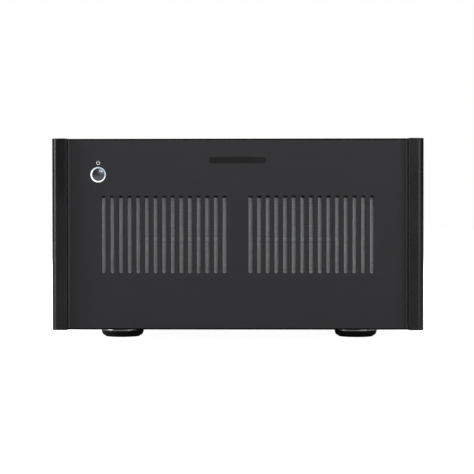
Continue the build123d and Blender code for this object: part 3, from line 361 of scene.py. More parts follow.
def makeBoardMaterial(name, flatAxes):
    # tracks are the joints of a running brick pattern, pads the middles of a cell pattern
    material, tree, shader = newMaterial(name)
    x, y, z = separate(tree, objectPlace(tree))
    sides = {"x": x, "y": y, "z": z}
    flat = addNode(tree, "ShaderNodeCombineXYZ", {0: sides[flatAxes[0]], 1: sides[flatAxes[1]]}).outputs[0]
    bricks = addNode(
        tree, "ShaderNodeTexBrick",
        {"Vector": flat, "Scale": 1 / boardLook["trackPitch"] / 4, "Mortar Size": 0.035,
         "Color1": (0, 0, 0, 1), "Color2": (0, 0, 0, 1), "Mortar": (1, 1, 1, 1)})
    cells = addNode(
        tree, "ShaderNodeTexVoronoi", {"Vector": flat, "Scale": 1 / boardLook["padPitch"], "Randomness": 0.6})
    pad = remap(tree, cells.outputs["Distance"], 0.10, 0.14, 1.0, 0.0)
    grain = useGrain(tree, 1800)
    color = blendColor(tree, bricks.outputs["Color"], boardLook["mask"], boardLook["track"])
    color = blendColor(tree, pad, color, boardLook["pad"])
    addBump(tree, shader, pad, boardLook["padHeight"], 0.6)
    feedAll(tree, shader, {
        "Base Color": color, "Metallic": calc(tree, "MULTIPLY", pad, 0.9),
        "Roughness": calc(tree, "MULTIPLY_ADD", grain["Shade"], 0.1, boardLook["roughness"])})
    return material


screenLook = {
    "color": (0.315, 0.315, 0.323), "stretch": (900, 900, 2600), "shade": 0.5, "roughness": 0.42,
    "metallic": 0.3, "bump": 0.00002, "slotLength": 0.0905, "paintedShadowBand": 0.0023,
    "paintedShadowColor": (0.004, 0.004, 0.004), "lip": 0.0021, "lipGain": 1.5,
}


def makeScreenMaterial(node):
    # a painted shadow crosses the screen at the slots' upper ends, and a painted highlight brightens it at
    # their lower ends
    look = screenLook
    low, high = boxOf(node)
    middleHeight = (low[2] + high[2]) / 2
    material, tree, shader = newMaterial("screenSteel_" + node)
    grain = useGrain(tree, look["stretch"])
    x, y, z = separate(tree, objectPlace(tree))
    top = middleHeight + look["slotLength"] / 2
    bottom = middleHeight - look["slotLength"] / 2
    # painted shadow: a near-black band across the screen just below the slots' upper ends
    paintedShadowBand = remap(tree, z, top - look["paintedShadowBand"] - 0.0004, top - look["paintedShadowBand"] + 0.0004)
    # painted highlight: the screen is brightened just above the slots' lower ends
    lip = remap(tree, z, bottom + look["lip"] - 0.0003, bottom + look["lip"] + 0.0003, look["lipGain"], 1.0)
    shade = calc(tree, "MULTIPLY", calc(tree, "MULTIPLY_ADD", grain["Shade"], look["shade"], 1.0), lip)
    color = shaded(tree, look["color"], shade)
    color = blendColor(tree, paintedShadowBand, color, look["paintedShadowColor"])
    addBump(tree, shader, grain["Height"], look["bump"])
    feedAll(tree, shader, {
        "Base Color": color, "Metallic": look["metallic"],
        "Roughness": calc(tree, "MULTIPLY_ADD", grain["Shade"], 0.06, look["roughness"])})
    return material


canLook = {"sleeve": (0.012, 0.016, 0.03), "metal": (0.62, 0.63, 0.64), "rim": 0.0016, "roughness": 0.3}


def makeCanMaterial():
    # shrink sleeve round the side, bare aluminium on the sunk top
    low, high = boxOf("supply_capacitors")
    material, tree, shader = newMaterial("capacitorSleeve")
    x, y, z = separate(tree, objectPlace(tree))
    pitch = (high[0] - low[0] - (high[1] - low[1])) / 3
    around = calc(tree, "SUBTRACT", calc(tree, "WRAP", x, pitch, 0.0), pitch / 2)
    across = calc(tree, "SUBTRACT", y, (low[1] + high[1]) / 2)
    distance = calc(tree, "SQRT", calc(
        tree, "ADD", calc(tree, "MULTIPLY", around, around), calc(tree, "MULTIPLY", across, across)))
    radius = (high[1] - low[1]) / 2
    inside = remap(tree, distance, radius - 2.2 * canLook["rim"], radius - 1.8 * canLook["rim"], 1.0, 0.0)
    onTop = calc(tree, "MULTIPLY", inside, remap(tree, z, high[2] - 0.004, high[2] - 0.003))
    grain = useGrain(tree, 700)
    sleeve = shaded(tree, canLook["sleeve"], calc(tree, "MULTIPLY_ADD", grain["Shade"], 0.25, 1.0))
    addBump(tree, shader, grain["Height"], 0.00001)
    feedAll(tree, shader, {
        "Base Color": blendColor(tree, onTop, sleeve, canLook["metal"]), "Metallic": onTop,
        "Roughness": calc(tree, "MULTIPLY_ADD", grain["Shade"], 0.12, canLook["roughness"])})
    return material


powderCoat = {
    "color": (0.020, 0.020, 0.021), "stretch": 1500, "shade": 0.5, "roughness": 0.52,
    "bump": 0.00005, "dulling": 0.02, "roughnessSpread": 0.03, "edgeWidth": 0.0009, "edgeAmount": 0.35,
    "edgeColor": (0.07, 0.07, 0.07),
}
# the cap's edge colour darkens its box edges: painted shade along the edges
capFinish = {
    "color": (0.007, 0.007, 0.0072), "stretch": (500, 500, 60), "shade": 0.12, "roughness": 0.26,
    "metallic": 0.25, "specular": 0.30, "bump": 0.000003, "dulling": 0.02, "dust": (0.04, 0.04, 0.04),
    "edgeWidth": 0.0007, "edgeAmount": 0.5, "edgeColor": (0.004, 0.004, 0.004), "roughnessSpread": 0.05,
}
inlayFinish = {
    "color": (0.002, 0.002, 0.0022), "stretch": 300, "shade": 0.1, "roughness": 0.3,
    "specular": 0.2, "bump": 0.000002, "dulling": 0.02, "edgeWidth": 0.0004, "edgeAmount": 0.2,
}
zincFinish = {
    "color": (0.50, 0.51, 0.50), "stretch": (40, 40, 900), "shade": 0.35, "roughness": 0.34,
    "metallic": 1.0, "bump": 0.00001, "dulling": 0.35, "dust": (0.42, 0.40, 0.30), "smudgeSize": 0.03,
}
mouldedFinish = {
    "color": (0.012, 0.012, 0.0125), "stretch": 2200, "shade": 0.35, "roughness": 0.45,
    "bump": 0.00002, "dulling": 0.05,
}
footFinish = {
    "color": (0.014, 0.014, 0.0145), "stretch": 1600, "shade": 0.3, "roughness": 0.30,
    "bump": 0.00001, "dulling": 0.04, "coat": 0.2, "coatRoughness": 0.25,
}
trimFinish = {
    "color": (0.42, 0.42, 0.43), "stretch": (60, 60, 4000), "shade": 0.2, "roughness": 0.16,
    "metallic": 1.0, "bump": 0.000002, "dulling": 0.03,
}
rubberFinish = {
    "color": (0.012, 0.012, 0.012), "stretch": 1200, "shade": 0.5, "roughness": 0.85,
    "bump": 0.00006, "dulling": 0.25, "dust": (0.06, 0.058, 0.055),
}
oxideFinish = {
    "color": (0.03, 0.03, 0.032), "stretch": 1500, "shade": 0.5, "roughness": 0.36,
    "metallic": 0.9, "bump": 0.00001, "dulling": 0.1,
}
springFinish = {
    "color": (0.45, 0.45, 0.46), "stretch": 2500, "shade": 0.3, "roughness": 0.25,
    "metallic": 1.0, "bump": 0.000005, "dulling": 0.05,
}
sinkFinish = {
    "color": (0.014, 0.014, 0.015), "stretch": (1600, 1600, 14), "shade": 0.4, "roughness": 0.42,
    "metallic": 0.5, "bump": 0.00001, "dulling": 0.08,
}
brassFinish = {
    "color": (0.62, 0.46, 0.20), "stretch": 1500, "shade": 0.25, "roughness": 0.28,
    "metallic": 1.0, "bump": 0.000006, "dulling": 0.15, "dust": (0.25, 0.17, 0.08),
}
goldFinish = {
    "color": (0.86, 0.60, 0.22), "stretch": 900, "shade": 0.12, "roughness": 0.16,
    "metallic": 1.0, "bump": 0.000002, "dulling": 0.05, "dust": (0.5, 0.33, 0.12),
}
dieCastFinish = {
    "color": (0.022, 0.022, 0.023), "stretch": 1900, "shade": 0.45, "roughness": 0.40,
    "metallic": 0.3, "bump": 0.00003, "dulling": 0.05,
}
nickelFinish = {
    "color": (0.55, 0.54, 0.51), "stretch": (200, 2500, 200), "shade": 0.2, "roughness": 0.22,
    "metallic": 1.0, "bump": 0.000004, "dulling": 0.08,
}
epoxyFinish = {
    "color": (0.018, 0.018, 0.019), "stretch": 3000, "shade": 0.5, "roughness": 0.5,
    "bump": 0.00002, "dulling": 0.05,
}
postFinish = {
    "color": (0.010, 0.010, 0.0105), "stretch": 700, "shade": 0.2, "roughness": 0.20,
    "bump": 0.000004, "dulling": 0.03, "coat": 0.4, "coatRoughness": 0.08,
}
redFinish = {
    "color": (0.42, 0.012, 0.014), "stretch": 900, "shade": 0.15, "roughness": 0.25,
    "bump": 0.000004, "dulling": 0.03, "coat": 0.3,
}
whiteFinish = {
    "color": (0.70, 0.70, 0.68), "stretch": 1500, "shade": 0.1, "roughness": 0.35,
    "bump": 0.000006, "dulling": 0.05,
}
printFinish = {
    "color": (0.46, 0.47, 0.48), "stretch": 2600, "shade": 0.25, "roughness": 0.55,
    "bump": 0.000008, "dulling": 0.05,
}
greyPrintFinish = {
    "color": (0.80, 0.79, 0.77), "stretch": 2600, "shade": 0.2, "roughness": 0.6,
    "bump": 0.000004, "dulling": 0.05,
}
copperFinish = {
    "color": (0.44, 0.17, 0.065), "stretch": (600, 600, 120), "shade": 0.4, "roughness": 0.30,
    "metallic": 0.8, "bump": 0.00002, "dulling": 0.25, "dust": (0.20, 0.07, 0.03), "coat": 0.5,
    "coatRoughness": 0.2, "smudgeSize": 0.02,
}
sleeveFinish = {
    "color": (0.16, 0.012, 0.012), "stretch": 1400, "shade": 0.3, "roughness": 0.5,
    "bump": 0.00001, "dulling": 0.1,
}

finishes = (
    ("plated_steel", "zincPlate", zincFinish),
    ("black_plastic", "mouldedBlack", mouldedFinish),
    ("spring_steel", "springSteel", springFinish),
    ("foot_plastic", "footPlastic", footFinish),
    ("foot_trim", "blackChrome", trimFinish),
    ("foot_rubber", "footRubber", rubberFinish),
    ("black_screws", "blackOxide", oxideFinish),
    ("winding", "enamelledCopper", copperFinish),
    ("heatsink_black", "sinkAnodised", sinkFinish),
    ("brass_spacer", "turnedBrass", brassFinish),
    ("gold_plate", "goldPlate", goldFinish),
    ("socket_metal", "dieCastBlack", dieCastFinish),
    ("latch_metal", "nickelPlate", nickelFinish),
    ("switch_knob", "knobPlastic", mouldedFinish),
    ("post_plastic", "postPlastic", postFinish),
    ("post_clear", "postCapPlastic", postFinish),
    ("inlet_plastic", "inletPlastic", mouldedFinish),
    ("wire_sleeve", "wireSleeve", sleeveFinish),
    ("epoxy", "mouldedEpoxy", epoxyFinish),
    ("red", "redPlastic", redFinish),
    ("white", "whitePlastic", whiteFinish),
    ("print", "printedInk", printFinish),
    ("greyPrint", "greyInk", greyPrintFinish),
)
materials = {
    "front_aluminium": makePanelMaterial(), "capacitor_sleeve": makeCanMaterial(),
    "inlay_black": finishMaterial("inlayBlack", inlayFinish, "name_inlay"),
}
for slot, materialName, look in finishes:
    materials[slot] = finishMaterial(materialName, look)
print("stage: materials made")


# mesh helpers

def gridFaces(rows, columns, wrapRows=False, wrapColumns=True):
    # four corners for each cell of a grid of points
    row, column = np.meshgrid(
        np.arange(rows if wrapRows else rows - 1), np.arange(columns if wrapColumns else columns - 1),
        indexing="ij")
    nextRow = (row + 1) % rows
    nextColumn = (column + 1) % columns
    cells = np.stack([
        row * columns + column, row * columns + nextColumn,
        nextRow * columns + nextColumn, nextRow * columns + column], axis=-1)
    return cells.reshape(-1, 4)


def newMesh(name, points, faces, sharpAngle=35.0):
    # doubles merged, so poles and seams close; then normals outward and smooth shading up to the angle
    mesh = bpy.data.meshes.new(name)
    mesh.from_pydata(np.asarray(points).reshape(-1, 3).tolist(), [], faces)
    return cleanMesh(mesh, sharpAngle)


def cleanMesh(mesh, sharpAngle):
    shape = bmesh.new()
    shape.from_mesh(mesh)
    bmesh.ops.remove_doubles(shape, verts=shape.verts, dist=1e-7)
    bmesh.ops.dissolve_degenerate(shape, edges=shape.edges, dist=1e-8)
    bmesh.ops.recalc_face_normals(shape, faces=shape.faces)
    shape.to_mesh(mesh)
    shape.free()
    mesh.polygons.foreach_set("use_smooth", np.ones(len(mesh.polygons), bool))
    mesh.set_sharp_from_angle(angle=math.radians(sharpAngle))
    mesh.update()
    return mesh


def addPiece(name, mesh, material, body="chassis", standsFor=()):
    mesh.materials.clear()
    mesh.materials.append(material)
    piece = addObject(name, mesh)
    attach(piece, body)
    if standsFor:
        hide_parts(*standsFor)
    return piece


def softenEdges(piece, width, segments=2, angle=40.0):
    bevel = piece.modifiers.new("softEdges", "BEVEL")
    bevel.width = width
    bevel.segments = segments
    bevel.limit_method = "ANGLE"
    bevel.angle_limit = math.radians(angle)
    bevel.harden_normals = True


def smoothCopy(node, material, body="chassis", bevel=0.0, sharpAngle=32.0):
    # the node's own shape with its triangles joined, so that round sides shade smoothly
    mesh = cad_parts[node].data.copy()
    mesh.name = node + "Smooth"
    cleanMesh(mesh, sharpAngle)
    piece = addPiece(node + "_smooth", mesh, material, body, [node])
    if bevel:
        softenEdges(piece, bevel)
    return piece


def roundedLine(corners, steps=6, closed=False):
    # each corner is (across, along, radius): the corner is cut off by its radius and bridged by a parabola
    corners = [np.array(corner, float) for corner in corners]
    count = len(corners)
    share = np.linspace(0, 1, steps)[:, None]
    line = []
    for place, corner in enumerate(corners):
        point, radius = corner[:2], corner[2]
        if radius == 0 or (not closed and place in (0, count - 1)):
            line.append(point[None, :])
            continue
        runIn = corners[place - 1][:2] - point
        runOut = corners[(place + 1) % count][:2] - point
        start = point + runIn / np.linalg.norm(runIn) * radius
        end = point + runOut / np.linalg.norm(runOut) * radius
        line.append((1 - share) ** 2 * start + 2 * share * (1 - share) * point + share ** 2 * end)
    return np.concatenate(line)


def latheMesh(name, profile, centres, axis="y", steps=96, closed=False, shift=None, sharpAngle=35.0):
    # the profile's (radius, along) points carried round the axis at each centre;
    # shift, where given, is added to the radius at each row and column
    profile = np.asarray(profile, float)
    rows = len(profile)
    turn = np.linspace(0, fullTurn, steps, endpoint=False)
    radius = np.repeat(profile[:, :1], steps, axis=1)
    if shift is not None:
        radius = radius + shift
    along = np.repeat(profile[:, 1:], steps, axis=1)
    across = radius * np.cos(turn)
    up = radius * np.sin(turn)
    parts = (across, along, up) if axis == "y" else (across, up, along)
    ring = np.stack(parts, axis=-1)
    points = np.concatenate([ring.reshape(-1, 3) + np.asarray(centre) for centre in centres])
    cells = gridFaces(rows, steps, wrapRows=closed)
    faces = np.concatenate([cells + place * rows * steps for place in range(len(centres))])
    return newMesh(name, points, faces.tolist(), sharpAngle)


def columnMesh(name, section, bottom, top, sharpAngle=30.0):
    # a closed section of (x, y) points carried straight up from bottom to top
    count = len(section)
    levels = [np.column_stack([section, np.full(count, height)]) for height in (bottom, top)]
    faces = gridFaces(2, count).tolist()
    faces += [list(range(count)), list(range(count, 2 * count))]
    return newMesh(name, np.concatenate(levels), faces, sharpAngle)


def strokeMesh(name, strokes, depth):
    # every stroke is a path of (x, z) points at the given depth, widened to both sides of its direction
    points, faces, used = [], [], 0
    for path, width in strokes:
        path = np.asarray(path, float)
        direction = np.gradient(path, axis=0)
        direction /= np.linalg.norm(direction, axis=1, keepdims=True)
        side = np.column_stack([-direction[:, 1], direction[:, 0]]) * width / 2
        edges = np.stack([path + side, path - side], axis=1).reshape(-1, 2)
        points.append(np.column_stack([edges[:, 0], np.full(len(edges), depth), edges[:, 1]]))
        faces += (gridFaces(len(path), 2, wrapColumns=False) + used).tolist()
        used += len(edges)
    return newMesh(name, np.concatenate(points), faces)


def thicken(piece, thickness, offset):
    wall = piece.modifiers.new("wall", "SOLIDIFY")
    wall.thickness = thickness
    wall.offset = offset


# front panel, end caps and screens

endCap = {
    "sideRound": 0.0076, "innerRound": 0.0012, "roundSteps": 17, "skirtClearance": 0.0003,
    "edgeRadius": 0.0003,
}


def makeEndCap(sideName, side):
    # a flat face with a small round at the panel and a large one at the object's side,
    # then straight back to the skirt that laps the cover
    node = "end_cap_" + sideName
    low, high = boxOf(node)
    inner, outer = sorted((abs(low[0]), abs(high[0])))
    skirtInner = coverHigh[0] + endCap["skirtClearance"]
    front, panelRear = low[1], panelHigh[1]
    turn = np.linspace(0, math.pi / 2, endCap["roundSteps"])
    small, large = endCap["innerRound"], endCap["sideRound"]
    innerArc = np.column_stack([inner + small - small * np.cos(turn), front + small - small * np.sin(turn)])
    outerArc = np.column_stack([outer - large + large * np.sin(turn), front + large - large * np.cos(turn)])
    rest = [(outer, high[1]), (skirtInner, high[1]), (skirtInner, panelRear), (inner, panelRear)]
    section = np.concatenate([innerArc, outerArc, np.array(rest, float)]) * (side, 1)
    material = finishMaterial("capSatin_" + sideName, capFinish, node)
    mesh = columnMesh(node + "Column", section, low[2], high[2])
    piece = addPiece(node + "_column", mesh, material, standsFor=[node])
    softenEdges(piece, endCap["edgeRadius"], angle=50.0)


screenWork = {"pitchAcross": 0.0020, "pitchUp": 0.00175, "holeRadius": 0.00046, "thickness": 0.0007}


def makeScreen(sideName):
    # rows of cells, every other row moved by half a cell: each cell is six faces between its outline
    # and an eight-sided hole, and half cells close the ends of the moved rows
    node = "grille_screen_" + sideName
    low, high = boxOf(node)
    wide, tall = high[0] - low[0], high[2] - low[2]
    across = round(wide / screenWork["pitchAcross"])
    up = round(tall / screenWork["pitchUp"])
    cellWide, cellTall = wide / across, tall / up
    rowOf, placeInRow = np.meshgrid(np.arange(up), np.arange(across), indexing="ij")
    moved = rowOf % 2 == 1
    keep = ~(moved & (placeInRow == across - 1))
    middles = np.stack([
        low[0] + (placeInRow + 0.5 + 0.5 * moved) * cellWide,
        low[2] + (rowOf + 0.5) * cellTall], axis=-1)[keep]
    outline = np.array([(1, 1), (0, 1), (-1, 1), (-1, -1), (0, -1), (1, -1)])
    outer = outline * (cellWide / 2, cellTall / 2)
    turn = np.arange(8) * fullTurn / 8
    hole = screenWork["holeRadius"] * np.column_stack([np.cos(turn), np.sin(turn)])
    cell = np.concatenate([outer, hole])
    flat = (middles[:, None, :] + cell[None, :, :]).reshape(-1, 2)
    starts = len(cell) * np.arange(len(middles))[:, None, None]
    fourSided = np.array([(0, 1, 8, 7), (1, 2, 9, 8), (3, 4, 12, 11), (4, 5, 13, 12)]) + starts
    fiveSided = np.array([(2, 3, 11, 10, 9), (5, 0, 7, 6, 13)]) + starts
    faces = fourSided.reshape(-1, 4).tolist() + fiveSided.reshape(-1, 5).tolist()
    movedRows = low[2] + np.arange(1, up, 2) * cellTall
    ends = []
    for edge, inward in ((low[0], 1), (high[0], -1)):
        corner = np.array([(0, 0), (0.5, 0), (0.5, 1), (0, 1)]) * (inward * cellWide, cellTall)
        ends.append(corner[None] + np.column_stack([np.full(len(movedRows), edge), movedRows])[:, None, :])
    ends = np.concatenate(ends)
    faces += (len(flat) + np.arange(ends.shape[0] * 4).reshape(-1, 4)).tolist()
    flat = np.concatenate([flat, ends.reshape(-1, 2)])
    points = np.column_stack([flat[:, 0], np.full(len(flat), (low[1] + high[1]) / 2), flat[:, 1]])
    mesh = newMesh(node + "Sheet", points, faces)
    piece = addPiece(node + "_sheet", mesh, makeScreenMaterial(node), standsFor=[node])
    thicken(piece, screenWork["thickness"], 0.0)


for sideName, side in (("left", -1), ("right", 1)):
    makeEndCap(sideName, side)
    makeScreen(sideName)
print("stage: caps and screens made")


# power button and its ring

buttonLow, buttonHigh = boxOf("power_button")
ringLow, ringHigh = boxOf("light_ring")
buttonCentre = (buttonLow + buttonHigh) / 2
ringWork = {"wall": 0.0014, "frontRound": 0.0006}
buttonWork = {"domeRadius": 0.028, "headLength": 0.014, "stemRadius": 0.0025, "steps": 28}


def makeRing():
    # a short tube with rounded front edges
    outer = (ringHigh[0] - ringLow[0]) / 2
    inner = outer - ringWork["wall"]
    front, rear = ringLow[1], ringHigh[1]
    profile = roundedLine([
        (inner, front, ringWork["frontRound"]), (outer, front, ringWork["frontRound"]),
        (outer, rear, 0), (inner, rear, 0)], closed=True)
    centre = (buttonCentre[0], 0, buttonCentre[2])
    mesh = latheMesh("lightRing", profile, [centre], closed=True, steps=128)
    addPiece("light_ring_lens", mesh, makeRingMaterial(buttonCentre), standsFor=["light_ring"])


def makeButton():
    # the face is a part of a sphere; the profile runs from the axis in front to the axis behind
    radius = (buttonHigh[0] - buttonLow[0]) / 2
    front, rear = buttonLow[1], buttonHigh[1]
    sphere = buttonWork["domeRadius"]
    across = np.linspace(0, radius, buttonWork["steps"])
    dome = front + sphere - np.sqrt(sphere ** 2 - across ** 2)
    headRear = front + buttonWork["headLength"]
    stem = buttonWork["stemRadius"]
    side = roundedLine([
        (across[-2], dome[-2], 0), (radius, dome[-1], 0.0002), (radius, headRear, 0), (stem, headRear, 0),
        (stem, rear, 0.0004), (0, rear, 0)])
    profile = np.concatenate([np.column_stack([across, dome])[:-2], side])
    centre = (buttonCentre[0], 0, buttonCentre[2])
    mesh = latheMesh("powerButton", profile, [centre], steps=96)
    addPiece(
        "power_button_turned", mesh, makeButtonMaterial(buttonCentre, radius),
        body="power_button", standsFor=["power_button"])


powerMark = {"radius": 0.0020, "stroke": 0.00055, "rise": 0.0137, "gap": 0.75, "proud": 0.00006}


def makePowerMark():
    # an arc open at the top, and a bar in the opening
    x, z = buttonCentre[0], buttonCentre[2] + powerMark["rise"]
    radius = powerMark["radius"]
    turn = math.pi / 2 + np.linspace(powerMark["gap"], fullTurn - powerMark["gap"], 40)
    arc = np.column_stack([x + radius * np.cos(turn), z + radius * np.sin(turn)])
    bar = [(x, z + 0.1 * radius), (x, z + 1.25 * radius)]
    mesh = strokeMesh("powerMark", [(arc, powerMark["stroke"]), (bar, powerMark["stroke"])], panelLow[1])
    piece = addPiece("power_mark", mesh, materials["greyPrint"])
    thicken(piece, powerMark["proud"], 0.0)


makeRing()
makeButton()
makePowerMark()
print("stage: button made")


def makeSpring():
    # a smooth copy of the coil, with a mesh of its own
    spring = smoothCopy("button_spring", materials["spring_steel"])
    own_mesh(spring)


makeSpring()


# feet

footWork = {
    "padRadius": 0.0211, "padRecess": 0.0008, "screwRadius": 0.0033, "headRadius": 0.0063, "headSeat": 0.011,
    "bottomRadius": 0.0244, "toe": 0.0015, "topRadius": 0.024, "trimDepth": 0.0012, "rimStep": 0.0003,
    "trimProud": 0.0002, "trimRound": 0.0011,
}
trimLow, trimHigh = boxOf("foot_trims")


def makeFoot(place):
    # from the screw's hole over the top, down the outside past the trim's groove, and under to the hole again
    node = "foot_" + place
    low, high = boxOf(node)
    work = footWork
    radius = (high[0] - low[0]) / 2
    bottom, top = low[2], high[2]
    grooveLow, grooveHigh = trimLow[2], trimHigh[2]
    profile = roundedLine([
        (work["screwRadius"], top, 0), (work["topRadius"], top, 0.0006),
        (radius - work["rimStep"], grooveHigh, 0.0004), (radius - work["trimDepth"], grooveHigh, 0),
        (radius - work["trimDepth"], grooveLow, 0), (radius, grooveLow, 0.0005),
        (radius - 0.0006, (bottom + grooveLow) / 2, 0.002),
        (work["bottomRadius"], bottom + work["toe"], 0.0012),
        (work["bottomRadius"] - work["toe"], bottom, 0.0005), (work["padRadius"], bottom, 0),
        (work["padRadius"], bottom + work["padRecess"], 0),
        (work["headRadius"], bottom + work["padRecess"], 0),
        (work["headRadius"], work["headSeat"], 0), (work["screwRadius"], work["headSeat"], 0)], closed=True)
    centre = ((low[0] + high[0]) / 2, (low[1] + high[1]) / 2, 0)
    mesh = latheMesh(node + "Turned", profile, [centre], axis="z", closed=True)
    addPiece(node + "_turned", mesh, materials["foot_plastic"], standsFor=[node])
    return centre, radius


def makeTrims(centres, radius):
    # a band with rounded outer edges in each foot's groove
    outer, inner = radius + footWork["trimProud"], radius - footWork["trimDepth"]
    low, high, edge = trimLow[2], trimHigh[2], footWork["trimRound"]
    profile = roundedLine([
        (inner, high, 0), (outer, high, edge), (outer, low, edge), (inner, low, 0)], closed=True)
    mesh = latheMesh("footTrims", profile, centres, axis="z", closed=True)
    addPiece("foot_trim_rings", mesh, materials["foot_trim"], standsFor=["foot_trims"])


footCentres = []
for place in ("front_left", "front_right", "rear_left", "rear_right"):
    centre, footRadius = makeFoot(place)
    footCentres.append(centre)
makeTrims(footCentres, footRadius)
print("stage: feet made")


# speaker posts

postCap = {
    "flutes": 16, "fluteDepth": 0.0009, "fluteStart": 0.0008, "plainEnd": 0.002, "bore": 0.00406,
    "endRound": 0.0014, "band": 0.0011, "bandProud": 0.00008, "bandSunk": 0.0004,
}


def makePostCap(number):
    # the side's radius is cut by a power of a cosine, sixteen times round, away from the plain end
    low, high = boxOf(f"post_cap_{number}")
    radius = (high[0] - low[0]) / 2
    front, rear = low[1], high[1]
    plain = front + postCap["plainEnd"]
    side = [(radius, front + share * (rear - front)) for share in np.linspace(0, 1, 25)]
    outside = roundedLine(
        [(postCap["bore"], front, 0), (radius, front, 0.0003)]
        + [(across, along, 0) for across, along in side[1:-1] if along < rear - 0.0016]
        + [(radius, rear, postCap["endRound"]), (postCap["bore"], rear, 0.0003)], closed=True)
    steps = postCap["flutes"] * 10
    turn = np.linspace(0, fullTurn, steps, endpoint=False)
    gate = np.clip((outside[:, 1] - plain) / postCap["fluteStart"], 0, 1) * (outside[:, 0] > radius * 0.8)
    shift = -postCap["fluteDepth"] * gate[:, None] * (0.5 + 0.5 * np.cos(postCap["flutes"] * turn)) ** 3
    centre = ((low[0] + high[0]) / 2, 0, (low[2] + high[2]) / 2)
    mesh = latheMesh(
        f"postCap{number}", outside, [centre], steps=steps, closed=True, shift=shift, sharpAngle=50.0)
    addPiece(
        f"post_cap_{number}_fluted", mesh, materials["post_clear"],
        body=f"post_cap_{number}", standsFor=[f"post_cap_{number}"])
    bandInner, bandOuter = radius - postCap["bandSunk"], radius + postCap["bandProud"]
    bandStart = front + 0.0004
    bandEnd = bandStart + postCap["band"]
    band = roundedLine([
        (bandInner, bandStart, 0), (bandOuter, bandStart, 0.00005), (bandOuter, bandEnd, 0.00005),
        (bandInner, bandEnd, 0)], closed=True)
    bandMaterial = materials["red"] if number in (2, 4) else materials["white"]
    bandMesh = latheMesh(f"postBand{number}", band, [centre], steps=96, closed=True)
    addPiece(f"post_band_{number}", bandMesh, bandMaterial, body=f"post_cap_{number}")
    return centre


postCentres = [makePostCap(number) for number in (1, 2, 3, 4)]
for number in (1, 2, 3, 4):
    smoothCopy(f"post_collar_{number}", materials["gold_plate"], body=f"post_collar_{number}")
print("stage: posts made")


# rear sockets

sleeveWork = {
    "radius": 0.00125, "bore": 0.0008, "circle": 0.004, "recess": 0.0003, "length": 0.009,
    "belowLatch": 0.0115,       # latch's middle to the middle of the contacts
}
insulatorWork = {"bore": 0.0017, "radius": 0.0034, "proud": 0.00015, "sunk": 0.0006}


def makeContactSleeves():
    # a short tube in each of the three contact holes of both sockets
    bore, radius, circle = sleeveWork["bore"], sleeveWork["radius"], sleeveWork["circle"]
    end = boxOf("balanced_sockets")[1][1] - sleeveWork["recess"]
    start = end - sleeveWork["length"]
    profile = roundedLine([
        (bore, end, 0.00015), (radius, end, 0.00015), (radius, start, 0), (bore, start, 0)], closed=True)
    centres = []
    for sideName in ("left", "right"):
        low, high = boxOf("socket_latch_" + sideName)
        x = (low[0] + high[0]) / 2
        z = (low[2] + high[2]) / 2 - sleeveWork["belowLatch"]
        for turn in np.radians((90, 210, 330)):
            centres.append((x + circle * math.cos(turn), 0, z - circle * math.sin(turn)))
    mesh = latheMesh("contactSleeves", profile, centres, steps=24, closed=True)
    addPiece("balanced_contact_sleeves", mesh, materials["gold_plate"])


def makeInsulators():
    low, high = boxOf("phono_sockets")
    height = (low[2] + high[2]) / 2
    side = high[0] - (high[2] - low[2]) / 2
    bore, radius = insulatorWork["bore"], insulatorWork["radius"]
    front, rear = high[1] - insulatorWork["sunk"], high[1] + insulatorWork["proud"]
    profile = roundedLine([
        (bore, rear, 0), (radius, rear, 0.00008), (radius, front, 0), (bore, front, 0)], closed=True)
    for sideName, x, shade in (("left", -side, "white"), ("right", side, "red")):
        mesh = latheMesh("insulator" + sideName, profile, [(x, 0, height)], steps=48, closed=True)
        addPiece("phono_insulator_" + sideName, mesh, materials[shade])


makeContactSleeves()
makeInsulators()
for node, slot, bevel in (
        ("phono_sockets", "gold_plate", 0.0), ("balanced_sockets", "socket_metal", 0.00015),
        ("trigger_sockets", "black_plastic", 0.0), ("mains_inlet", "inlet_plastic", 0.0002),
        ("post_bases", "post_plastic", 0.0), ("post_studs", "gold_plate", 0.0),
        ("case_screws", "black_screws", 0.0), ("connector_screws", "black_screws", 0.0),
        ("wiring", "wire_sleeve", 0.0), ("supply_capacitors", "capacitor_sleeve", 0.0),
        ("transformer_clamps", "plated_steel", 0.0)):
    smoothCopy(node, materials[slot], bevel=bevel)
for sideName in ("left", "right"):
    latch = "socket_latch_" + sideName
    smoothCopy(latch, materials["latch_metal"], latch)
for node in ("input_switch_knob", "mode_switch_knob"):
    smoothCopy(node, materials["switch_knob"], node)


rearMarks = {
    "stroke": 0.0007, "proud": 0.00005, "reach": 0.0022, "frame": 0.0005, "corner": 0.003,
    "lift": 0.0160, "besidePosts": 0.0155, "belowPosts": 0.0150, "abovePosts": 0.0210,
    "besideSockets": 0.005, "aboveSockets": 0.006, "tickStart": 0.0018, "tickEnd": 0.0040,
    "inputTravel": 0.004, "modeTravel": 0.007,
}


def framePath(low, high, radius):
    # a closed rounded rectangle, ending where it starts
    corners = [(low[0], low[1], radius), (high[0], low[1], radius), (high[0], high[1], radius),
               (low[0], high[1], radius)]
    line = roundedLine(corners, steps=6, closed=True)
    return np.concatenate([line, line[:1]])


